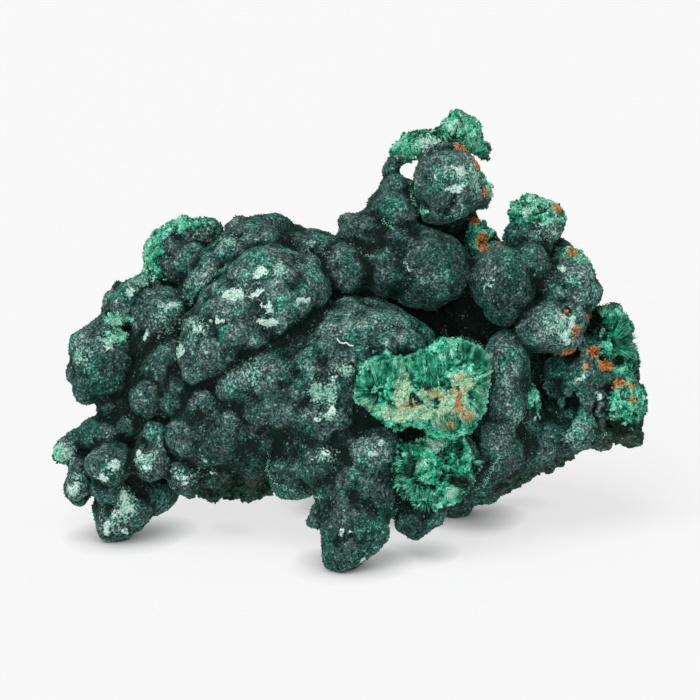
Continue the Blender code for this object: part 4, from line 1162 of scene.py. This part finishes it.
class Skin:
    """The finished body's surface, to scatter small things on and to find from the front."""

    def __init__(self, data):
        self.points, self.normals = points_of(data), normals_of(data)
        self.places = on_face(self.points)
        data.calc_loop_triangles()
        self.corners = read(data.loop_triangles, "vertices", 3, np.int32)
        a, b, c = (self.points[self.corners[:, k]] for k in range(3))
        self.area = np.linalg.norm(np.cross(b - a, c - a), axis=1)
        tones = [read(data.attributes[name].data, "value", 1).ravel() for name in SKIN_SHADING]
        self.tones = np.column_stack(tones)
        self.tree = BVHTree.FromPolygons(self.points.tolist(), self.corners.tolist())

    def scatter(self, weights, count, dice):
        """Points spread over the skin by a weight at each of its own, with its normals and its painted
        shading there.
        """
        share = self.area * weights[self.corners].mean(axis=1)
        chosen = dice.choice(len(self.corners), count, p=share / share.sum())
        u, v = dice.random(count), dice.random(count)
        flip = u + v > 1
        u[flip], v[flip] = 1 - u[flip], 1 - v[flip]
        shares = np.stack([1 - u - v, u, v], axis=1)[:, :, None]
        found = [self.points, self.normals, self.tones]
        spots, facing, tones = ((values[self.corners[chosen]] * shares).sum(axis=1) for values in found)
        return spots, unit(facing), tones

    def seen_at(self, across, up):
        """The point and normal of the skin that shows at a place on the display face."""
        start = off_face(np.array([[across, up, SIGHT_START]]))[0]
        point, normal, _, _ = self.tree.ray_cast(start.tolist(), (-OUT).tolist())
        return point and (np.array(point), np.array(normal))


def unit(vectors):
    return vectors / np.maximum(np.linalg.norm(vectors, axis=1, keepdims=True), 1e-12)


def side_ways(ways, dice):
    """Two directions across each way, turned at random about it."""
    helper = unit(dice.normal(size=ways.shape))
    first = unit(np.cross(ways, helper))
    return first, np.cross(ways, first)


def around(middles, first, second, radii, sides):
    """Points spaced evenly on a circle round each middle, one list of them for each step of the turn."""
    turns = [math.tau * k / sides for k in range(sides)]
    return [middles + (math.cos(turn) * first + math.sin(turn) * second) * radii for turn in turns]


def mesh_from(name, points, faces, marks):
    """A mesh of many small closed pieces with its point attributes."""
    data = bpy.data.meshes.new(name)
    data.vertices.add(len(points))
    data.vertices.foreach_set("co", points.astype(np.float32).ravel())
    data.loops.add(faces.size)
    data.loops.foreach_set("vertex_index", faces.astype(np.int32).ravel())
    data.polygons.add(len(faces))
    data.polygons.foreach_set("loop_start", np.arange(0, faces.size, 3, dtype=np.int32))
    data.update(calc_edges=True)
    put_marks(data, marks)
    data.validate()
    return link(name, data)


SPINDLE = np.array([(3, 1, 0), (3, 2, 1), (3, 0, 2), (4, 0, 1), (4, 1, 2), (4, 2, 0)])
OCTAHEDRON = np.array([
    (0, 2, 4), (2, 1, 4), (1, 3, 4), (3, 0, 4), (2, 0, 5), (1, 2, 5), (3, 1, 5), (0, 3, 5),
])


NEEDLE_WAIST = 0.35  # how far up a needle is widest, as a share of its length
TIP_LIGHTER = 0.25
ROOT_SHARE = 0.3  # of the needle's tone


def needles(name, bundle, dice):
    """Three-sided needles, widest a third of the way up, pointed at both ends."""
    roots, ways, lengths, widths, tones = bundle
    first, second = side_ways(ways, dice)
    waist = roots + ways * (lengths * NEEDLE_WAIST)[:, None]
    ring = around(waist, first, second, (widths / 2)[:, None], 3)
    corners = np.stack([*ring, roots + ways * lengths[:, None], roots], axis=1)
    faces = SPINDLE[None] + 5 * np.arange(len(roots))[:, None, None]
    marks = {kind: np.repeat(values, 5) for kind, values in marks_at(on_face(waist)).items()}
    tip_tones = np.clip(tones + TIP_LIGHTER, 0, 1.2)
    marks["tone"] = np.stack([tones, tones, tones, tip_tones, tones * ROOT_SHARE], axis=1).ravel()
    return mesh_from(name, corners.reshape(-1, 3), faces.reshape(-1, 3), marks)


CRUMB_LEAN = 0.5  # how far crumbs lean away from straight up
CRUMB_STRETCH = (0.7, 1.2)
CRUMB_RISE = 0.35  # how far a crumb's middle lies above the skin, as a share of its half width


def crumbs(name, spots, facing, under, sizes, tones, dice):
    """Small angular crystals sunk by a third into what they sit on."""
    ways = unit(facing + dice.normal(size=facing.shape) * CRUMB_LEAN)
    first, second = side_ways(ways, dice)
    half = sizes[:, None] / 2
    stretch = dice.uniform(*CRUMB_STRETCH, (3, len(spots), 1))
    middle = spots + facing * half * CRUMB_RISE
    axes = (first * half * stretch[0], second * half * stretch[1], ways * half * stretch[2])
    corners = np.stack([middle + s * axis for axis in axes for s in (1, -1)], axis=1)
    faces = OCTAHEDRON[None] + 6 * np.arange(len(spots))[:, None, None]
    marks = {kind: np.repeat(values, 6) for kind, values in marks_at(on_face(spots)).items()}
    marks["tone"] = np.repeat(tones, 6)
    # Painted shade and light: crumbs take those of the skin beneath.
    marks |= {kind: np.repeat(under[:, k], 6) for k, kind in enumerate(SKIN_SHADING)}
    # Painted light and shade: crumbs that face up are painted lighter, those facing down darker.
    marks["sky"] = np.repeat(facing[:, 2], 6)
    return mesh_from(name, corners.reshape(-1, 3), faces.reshape(-1, 3), marks)


STUB_SPINE = np.array(((4.2, 25.2), (9.0, 24.6), (17.4, 26.4)))  # the fibres run out from this line
RIM_CLUMP = 0.4  # millimetres of rim that one clump of fibres takes
CLUMP_TONE = (0.36, 0.2)  # middle and spread
CLUMP_REACH = (0.93, 1.01)  # where a clump ends, as a share of the way to the rim
DARK_CLUMP = 0.2  # a clump darker than this is a gap
RIM_BAND = 0.24  # how far in from there fibres end, as a share, and as much again at the top
FIBRE_LENGTHS = (0.8, 2.4)  # along the face, in millimetres
TOP_LENGTH = 2.2  # how much longer they come at the top
FIBRE_WIDTHS = (0.16, 0.32)  # millimetres
INNER_TONE = (0.4, 0.14)  # middle and spread, away from the rim
BARE_CORNER = (13.0, 21.6)  # left of and below this place there are no fibres
TIP_PROUD = 22.3  # how far the tips stand out in the middle, in millimetres
RIM_DROP = 1.4  # and how much less they do at the rim
HANGING_SHARE = 0.35  # of the fibres at the rim, which stand lower, on the stub's side
HANGING_DROPS = (0.3, 4.5)  # how much lower, in millimetres


def nearest_on_spine(places):
    """The point of the spine nearest to each place on the face."""
    best, distance = np.zeros_like(places), np.full(len(places), np.inf)
    for start, end in zip(STUB_SPINE[:-1], STUB_SPINE[1:]):
        along = end - start
        t = np.clip(((places - start) @ along) / (along @ along), 0, 1)
        found = start + t[:, None] * along
        far = np.linalg.norm(places - found, axis=1)
        closer = far < distance
        best[closer], distance[closer] = found[closer], far[closer]
    return best


def stub_fibres(count, dice):
    """Fibres that run outwards over the stub's broken face to its rim, in clumps with dark gaps."""
    outline = np.array(STUB_OUTLINE)
    ends = np.roll(outline, -1, axis=0)
    sides = np.linalg.norm(ends - outline, axis=1)
    side = dice.choice(len(outline), count, p=sides / sides.sum())
    along = dice.random(count)
    rim = outline[side] + (ends - outline)[side] * along[:, None]
    arc = np.concatenate([[0], np.cumsum(sides)])[side] + sides[side] * along
    clump = (arc / RIM_CLUMP).astype(int)
    clump_tone = dice.normal(*CLUMP_TONE, clump.max() + 1)[clump]
    clump_reach = dice.uniform(*CLUMP_REACH, clump.max() + 1)[clump]
    top = smooth_step(rim[:, 1], 28, 31) * (rim[:, 0] > 4) * (rim[:, 0] < 15)
    share = clump_reach - (RIM_BAND + RIM_BAND * top) * dice.random(count) ** 1.5
    reach = dice.uniform(*FIBRE_LENGTHS, count)
    reach = reach + TOP_LENGTH * smooth_step(rim[:, 1], 27, 32) * dice.random(count)
    source = nearest_on_spine(rim)
    outward = unit(rim - source) + dice.normal(size=(count, 2)) * 0.13
    tips = source + (rim - source) * share[:, None]
    proud_tip = TIP_PROUD - RIM_DROP * smooth_step(share, 0.8, 1.05) + dice.normal(size=count) * 0.14
    hanging = (dice.random(count) < HANGING_SHARE) & (share > 0.9)
    proud_tip[hanging] -= dice.uniform(*HANGING_DROPS, hanging.sum())
    roots = tips - unit(outward) * reach[:, None]
    start = off_face(np.column_stack([roots, proud_tip - reach * dice.uniform(0.0, 0.22, count)]))
    end = off_face(np.column_stack([tips, proud_tip]))
    near_rim = smooth_step(share, 0.5, 0.8)
    tones = dice.normal(*INNER_TONE, count) * (1 - near_rim) + clump_tone * near_rim
    gap = (clump_tone < DARK_CLUMP) & (near_rim > 0.5)
    kept = ~gap & ~(rim < BARE_CORNER).all(axis=1)
    widths = dice.uniform(*FIBRE_WIDTHS, count) * MM
    lengths = np.linalg.norm(end - start, axis=1)
    bundle = (start, unit(end - start), lengths, widths, np.clip(tones, 0, 1))
    return tuple(column[kept] for column in bundle)


FAN_OPENING = 0.9  # radians either way
FAN_SHEETS = 3  # a fan's fibres lie in sheets, each shorter than the one below it
SHEET_STEP = 0.2  # how much shorter, as a share of the fan's radius
SHEET_GAP = 0.22  # millimetres from one sheet to the next
FAN_WIDTHS = (0.22, 0.44)  # of its fibres, in millimetres


def fan(root, axis, lift, radius, count, dice):
    """A flat fan of fibres that radiate from one root about an axis, ending along one bright edge."""
    axis = unit(np.array(axis)[None])[0]
    side = np.cross(axis, lift)
    angles = dice.uniform(-1, 1, count) * FAN_OPENING
    jitter = dice.normal(size=(count, 3)) * 0.07
    turned = np.sin(angles)[:, None] * side / np.linalg.norm(side)
    ways = unit(np.cos(angles)[:, None] * axis + turned + jitter)
    sheet = dice.integers(0, FAN_SHEETS, count)
    lengths = radius * (1 - SHEET_STEP * sheet) * dice.uniform(0.88, 1.0, count) * MM
    roots = root + lift * (SHEET_GAP * sheet * MM)[:, None] + ways * (0.1 * radius * MM)
    tones = np.clip(dice.normal(0.52, 0.2) + dice.normal(0, 0.16, count), 0, 1)
    return roots, ways, lengths, dice.uniform(*FAN_WIDTHS, count) * MM, tones


def fan_spots(skin, zones, fans, dice):
    """Where fans stand in the zones, off the rock under the ledge, and the skin's normals there."""
    weights = within(skin.places, zones) * (1 - zone_weight(skin.places, (LEDGE_ROCK,)))
    return skin.scatter(weights, fans, dice)[:2]


def small_fans(skin, zones, fans, fibres, radii, dice):
    """Little fans standing all over the zones, each leaning its own way."""
    spots, facing = fan_spots(skin, zones, fans, dice)
    bundles = []
    for spot, normal in zip(spots, facing):
        tangent, _ = side_ways(normal[None], dice)
        axis = normal * dice.uniform(0.1, 1.0) + tangent[0]
        lift = unit((normal - tangent[0] * 0.3)[None])[0]
        radius = dice.uniform(*radii)
        bundles.append(fan(spot - normal * 0.25 * radius * MM, axis, lift, radius, fibres, dice))
    return gather(bundles)


LEDGE_PROUD = 14.0  # how far out the middle that they open away from lies, in millimetres
LEDGE_RADII = (0.8, 2.0)  # the smallest of its fans, and how much larger they come


def ledge_fans(skin, fans, fibres, dice):
    """Fans of every size on the ledge, most of them opening away from its middle."""
    spots, facing = fan_spots(skin, (LEDGE_FACE,), fans, dice)
    away = unit((on_face(spots) - (*LEDGE_HEART, LEDGE_PROUD)) * (1, 1, 0.2)) @ FACE_TURN.T
    bundles = []
    for spot, normal, way in zip(spots, facing, away):
        axis = way + dice.normal(size=3) * 0.55 + normal * dice.uniform(0.0, 0.7)
        lift = unit((normal + dice.normal(size=3) * 0.3)[None])[0]
        radius = LEDGE_RADII[0] + LEDGE_RADII[1] * dice.random() ** 1.8
        bundles.append(fan(spot - normal * 0.2 * radius * MM, axis, lift, radius, fibres, dice))
    return gather(bundles)


def gather(bundles):
    return tuple(np.concatenate(column) for column in zip(*bundles))


PLACED_FANS = (  # across, up, the way the fan opens on the face, radius in millimetres, fibres
    (10.6, 12.6, (-1.0, 0.2, 0.2), 2.9, 90),
    (10.8, 10.4, (-0.9, -0.7, 0.2), 3.0, 90),
    (13.2, 9.6, (-0.1, -1.0, 0.2), 2.8, 90),
    (15.8, 9.4, (0.5, -1.0, 0.2), 2.2, 80),
    (43.4, 33.0, (1.0, 0.25, 0.1), 4.8, 150),
    (43.0, 34.6, (0.8, 0.7, 0.1), 4.2, 120),
    (42.6, 37.0, (0.6, 0.9, 0.1), 3.0, 90),
)


STUB_FIBRES = 12500
LEDGE_FANS = (64, 26)  # how many, and how many fibres in each
SMALL_FANS = (1100, 18)
SMALL_FAN_RADII = (0.5, 1.1)  # millimetres
FIBRE_SEED = 11


def make_fibres(skin):
    dice = np.random.default_rng(FIBRE_SEED)
    fibres = needles("stub_fibres", stub_fibres(STUB_FIBRES, dice), dice)
    fibres.data.materials.append(fibre_material())
    bundles = []
    for across, up, way, radius, count in PLACED_FANS:
        point, _ = skin.seen_at(across, up)
        bundles.append(fan(point + OUT * 0.1 * MM, FACE_TURN @ np.array(way), OUT, radius, count, dice))
    bundles.append(ledge_fans(skin, *LEDGE_FANS, dice))
    bundles.append(small_fans(skin, SMALL_BREAKS, *SMALL_FANS, SMALL_FAN_RADII, dice))
    crust = needles("crust_fibres", gather(bundles), dice)
    crust.data.materials.append(fibres.data.materials[0])
    return fibres, crust


SUGAR_CRYSTALS = 21000
SUGAR_SIZES = (0.2, 0.45)  # the smallest, and how much larger they come, in millimetres
SUGAR_SEED = 29


def make_crust(skin):
    """Sugary crystals on the broken faces and in the stub's heart."""
    dice = np.random.default_rng(SUGAR_SEED)
    weights = np.clip(within(skin.places, FRESH_ZONES) + zone_weight(skin.places, CREAM_ZONES), 0, 1)
    spots, facing, under = skin.scatter(weights, SUGAR_CRYSTALS, dice)
    sizes = (SUGAR_SIZES[0] + SUGAR_SIZES[1] * dice.random(len(spots)) ** 2) * MM
    tones = np.clip(dice.normal(0.5, 0.32, len(spots)), 0, 1)
    crust = crumbs("sugary_crust", spots, facing, under, sizes, tones, dice)
    crust.data.materials.append(crystal_material("sugary_crystals"))
    return crust


LIMONITE_GRAINS = 2600
LIMONITE_SIZES = (0.2, 0.55)  # millimetres
LIMONITE_SEED = 23


def make_limonite(skin):
    dice = np.random.default_rng(LIMONITE_SEED)
    spots, facing, under = skin.scatter(within(skin.places, LIMONITE), LIMONITE_GRAINS, dice)
    sizes = dice.uniform(*LIMONITE_SIZES, len(spots)) * MM
    grains = crumbs("limonite", spots, facing, under, sizes, dice.normal(0.55, 0.25, len(spots)), dice)
    grains.data.materials.append(rust_material())
    return grains


RIM_SHEEN_LINES = (  # painted rim sheen: thin bright lines of crystals along the lips of lobes, as (across, up)
    ((10.0, 62.0), (9.7, 59.5), (10.2, 57.0), (12.0, 55.1)),
    ((14.8, 54.3), (17.0, 54.6), (18.6, 55.6)),
    ((2.0, 48.0), (5.5, 47.5)),
    ((5.0, 54.0), (7.0, 52.5)),
    ((32.8, 50.9), (35.6, 51.8)),
    ((24.8, 15.0), (23.2, 12.0), (22.0, 9.4), (20.4, 8.7)),
    ((5.5, 2.5), (6.8, 4.4), (7.9, 7.0)),
    ((-14.2, 15.0), (-14.4, 12.0), (-13.4, 10.0), (-9.0, 8.1), (-5.2, 7.4)),
    ((7.8, 13.6), (7.5, 10.8), (8.3, 8.2)),
    ((9.8, 7.1), (12.4, 6.8), (15.4, 7.3)),
    ((12.5, 7.6), (13.5, 8.2), (14.0, 9.5)),
    ((15.3, 7.1), (17.6, 8.2)),
    ((-28.6, 41.0), (-27.2, 44.6), (-24.2, 48.4)),
    ((-27.6, 39.6), (-26.4, 42.2), (-23.6, 44.6), (-21.2, 46.2)),
    ((-29.6, 31.0), (-29.2, 34.0), (-27.2, 37.2)),
    ((-9.4, 46.8), (-6.4, 45.2)),
    ((14.2, 33.9), (18.2, 34.4), (21.4, 33.4), (23.5, 31.0)),
    ((-41.9, 37.4), (-38.4, 37.2)),
    ((-45.9, 36.4), (-48.0, 33.4), (-48.6, 29.6)),
    ((40.2, 17.6), (44.0, 17.9)),
    ((-22.2, 51.6), (-22.6, 54.0)),
)
EDGE_GRAINS = 22  # crystals on each millimetre of edge
EDGE_SCATTER = 0.17  # millimetres off the line
EDGE_SIZES = (0.12, 0.26)  # millimetres
RIM_SHEEN_GREENS = ((0.0, (16, 110, 80)), (0.5, (84, 190, 154)), (1.0, (196, 240, 222)))
THIN_SHARE = 0.25  # of the crystals that stay where an edge is patchy
EDGE_SEED = 41
THREAD = ((-2.7, 34.0), (-2.2, 33.4), (-1.6, 33.2), (-1.1, 33.4), (-0.6, 32.9), (0.1, 32.8))
THREAD_STEP = 0.2  # millimetres from ring to ring
THREAD_WIDTH = 0.28 * MM
THREAD_SIDES = 6


def along_line(line, spacing):
    """Places evenly spaced along a line on the face."""
    line = np.array(line)
    steps = np.linalg.norm(np.diff(line, axis=0), axis=1)
    walked = np.concatenate([[0], np.cumsum(steps)])
    marks = np.linspace(0, walked[-1], max(2, int(walked[-1] / spacing)))
    return np.column_stack([np.interp(marks, walked, line[:, k]) for k in range(2)])


def make_rim_sheen(skin):
    """Bright crystals strung along the lips of lobes as painted rim sheen, thick in some stretches and thin
    in others.
    """
    dice = np.random.default_rng(EDGE_SEED)
    spots, facing = [], []
    for line in RIM_SHEEN_LINES:
        places = along_line(line, 1 / EDGE_GRAINS)
        thick = noise_at(np.c_[places, places[:, :1]], 1.4) > -0.05
        kept = dice.random(len(places)) < np.where(thick, 1.0, THIN_SHARE)
        for across, up in places[kept] + dice.normal(size=(kept.sum(), 2)) * EDGE_SCATTER:
            found = skin.seen_at(across, up)
            if found:
                spots.append(found[0])
                facing.append(found[1])
    spots, facing = np.array(spots), np.array(facing)
    sizes = dice.uniform(*EDGE_SIZES, len(spots)) * MM
    under = np.zeros((len(spots), len(SKIN_SHADING)))
    tones = dice.uniform(0.2, 1.0, len(spots))
    edges = crumbs("painted_rim_sheen", spots, facing, under, sizes, tones, dice)
    # Painted sheen: plain bright greens that stand for the velvet's rim sheen.
    n = Nodes("rim_sheen_crystals")
    edges.data.materials.append(n.finished(n.ramp(n.mark("tone"), RIM_SHEEN_GREENS), 0.5))
    return edges


def make_thread(skin):
    """A stray white fibre that lies on the dome."""
    ground = np.array([skin.seen_at(*place)[0] for place in along_line(THREAD, THREAD_STEP)])
    middles = ground + OUT * THREAD_WIDTH * 0.3
    ways = unit(np.gradient(middles, axis=0))
    first = unit(np.cross(ways, OUT))
    rings = around(middles, first, np.cross(ways, first), THREAD_WIDTH / 2, THREAD_SIDES)
    corners = np.stack(rings, axis=1).reshape(-1, 3)
    faces = []
    for ring in range(0, len(corners) - THREAD_SIDES, THREAD_SIDES):
        for k in range(THREAD_SIDES):
            here, beside = ring + k, ring + (k + 1) % THREAD_SIDES
            across, ahead = beside + THREAD_SIDES, here + THREAD_SIDES
            faces += [(here, beside, across), (here, across, ahead)]
    last = len(corners) - THREAD_SIDES
    for k in range(1, THREAD_SIDES - 1):
        faces += [(0, k + 1, k), (last, last + k, last + k + 1)]
    thread = mesh_from("white_thread", corners, np.array(faces), {})
    thread.data.shade_smooth()
    thread.data.materials.append(Nodes("white_fibre").finished(rgb(226, 240, 234), 0.6))
    return thread


VELVET_CRYSTALS = 24500
VELVET_SIZES = (0.18, 0.4)  # millimetres
VELVET_SEED = 37


def make_velvet(skin):
    """The pile of tiny crystals that covers the lobes, but for the two large breaks and the creases."""
    dice = np.random.default_rng(VELVET_SEED)
    broken = zone_weight(skin.places, (STUB_FACE, LEDGE_FACE))
    weights = np.clip(1 - broken, 0, 1) * (1 - skin.tones[:, 0])
    spots, facing, under = skin.scatter(weights, VELVET_CRYSTALS, dice)
    sizes = dice.uniform(*VELVET_SIZES, VELVET_CRYSTALS) * MM
    tones = np.clip(dice.normal(0.4, 0.25, VELVET_CRYSTALS), 0, 1)
    pile = crumbs("velvet_pile", spots, facing, under, sizes, tones, dice)
    pile.data.materials.append(crystal_material("velvet_crystals"))
    return pile


FLOOR_SHADOW_REACH = 6.5 * MM  # how high above it the floor still feels the stone
FLOOR_REACH = 3.0  # metres from its middle to its edge
FLOOR_COLOUR = (0.3, 0.3, 0.3, 1)
FLOOR_GLOW = 0.71


def make_floor():
    """A pale floor, as bright as the photograph's, that darkens only close round the stone."""
    mesh = bmesh.new()
    bmesh.ops.create_grid(mesh, x_segments=1, y_segments=1, size=FLOOR_REACH)
    data = bpy.data.meshes.new("floor")
    mesh.to_mesh(data)
    mesh.free()
    floor = link("floor", data)
    n = Nodes("pale_floor")
    # Painted shadow: ambient occlusion darkens the floor's glow close round the stone.
    contact_shadow = n.tree.nodes.new("ShaderNodeAmbientOcclusion")
    contact_shadow.inputs["Distance"].default_value = FLOOR_SHADOW_REACH
    n.put(n.surface.inputs["Emission Color"], contact_shadow.outputs["Color"])
    n.surface.inputs["Emission Strength"].default_value = FLOOR_GLOW
    data.materials.append(n.finished(FLOOR_COLOUR, 0.9, 0.0))


PIXEL = 0.17  # millimetres on the display face for one pixel of the 700-pixel frame
FRAME_PIXELS = 700
AIM = (-0.51, 32.13)  # the middle of the frame, across and up on the display face
LENS = 250.0
SENSOR = 36.0
CLIPPING = (0.05, 20.0)  # the nearest and farthest that the camera sees, in metres


def make_camera():
    """Looks straight at the display face from as far as the lens and the size of a pixel ask for."""
    distance = FRAME_PIXELS * PIXEL * LENS / SENSOR
    lens = bpy.data.cameras.new("camera")
    lens.lens = LENS
    lens.sensor_width = SENSOR
    lens.clip_start, lens.clip_end = CLIPPING
    camera = link("camera", lens)
    turn = Matrix(FACE_TURN.tolist()).to_4x4()
    camera.matrix_world = Matrix.Translation(off_face(np.array([[*AIM, distance]]))[0]) @ turn
    bpy.context.scene.camera = camera


SKY_STRENGTH = 0.3
LAMPS = (  # name, the way to it, strength, angle in degrees
    ("softbox", (-0.25, -0.45, 1.0), 1.45, 40),
    ("fill", (-0.3, -1.0, 0.34), 0.9, 40),
)


def make_light():
    world = bpy.data.worlds.new("studio")
    world.use_nodes = True
    sky = world.node_tree.nodes["Background"].inputs
    sky["Color"].default_value = (1, 1, 1, 1)
    sky["Strength"].default_value = SKY_STRENGTH
    bpy.context.scene.world = world
    for name, way, strength, angle in LAMPS:
        sun = bpy.data.lights.new(name, "SUN")
        sun.energy = strength
        sun.angle = math.radians(angle)
        lamp = link(name, sun)
        lamp.rotation_mode = "QUATERNION"
        lamp.rotation_quaternion = Vector(way).to_track_quat("Z", "Y")
    bpy.context.scene.view_settings.view_transform = "Standard"


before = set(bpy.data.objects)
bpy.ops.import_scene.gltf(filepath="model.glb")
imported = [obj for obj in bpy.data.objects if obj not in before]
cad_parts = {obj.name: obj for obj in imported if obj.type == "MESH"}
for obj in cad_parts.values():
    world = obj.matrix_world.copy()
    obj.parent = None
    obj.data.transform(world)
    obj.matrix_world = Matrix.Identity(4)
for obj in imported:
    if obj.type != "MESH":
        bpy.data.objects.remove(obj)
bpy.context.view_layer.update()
body = make_body()
body.data.materials.clear()
body.data.materials.append(stone_material())
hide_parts(NODE)
skin = Skin(body.data)
pieces = [body, *make_fibres(skin), make_crust(skin), make_limonite(skin), make_velvet(skin)]
pieces += [make_rim_sheen(skin), make_thread(skin)]
for piece in pieces:
    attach(piece, "root")
make_floor()
make_camera()
make_light()
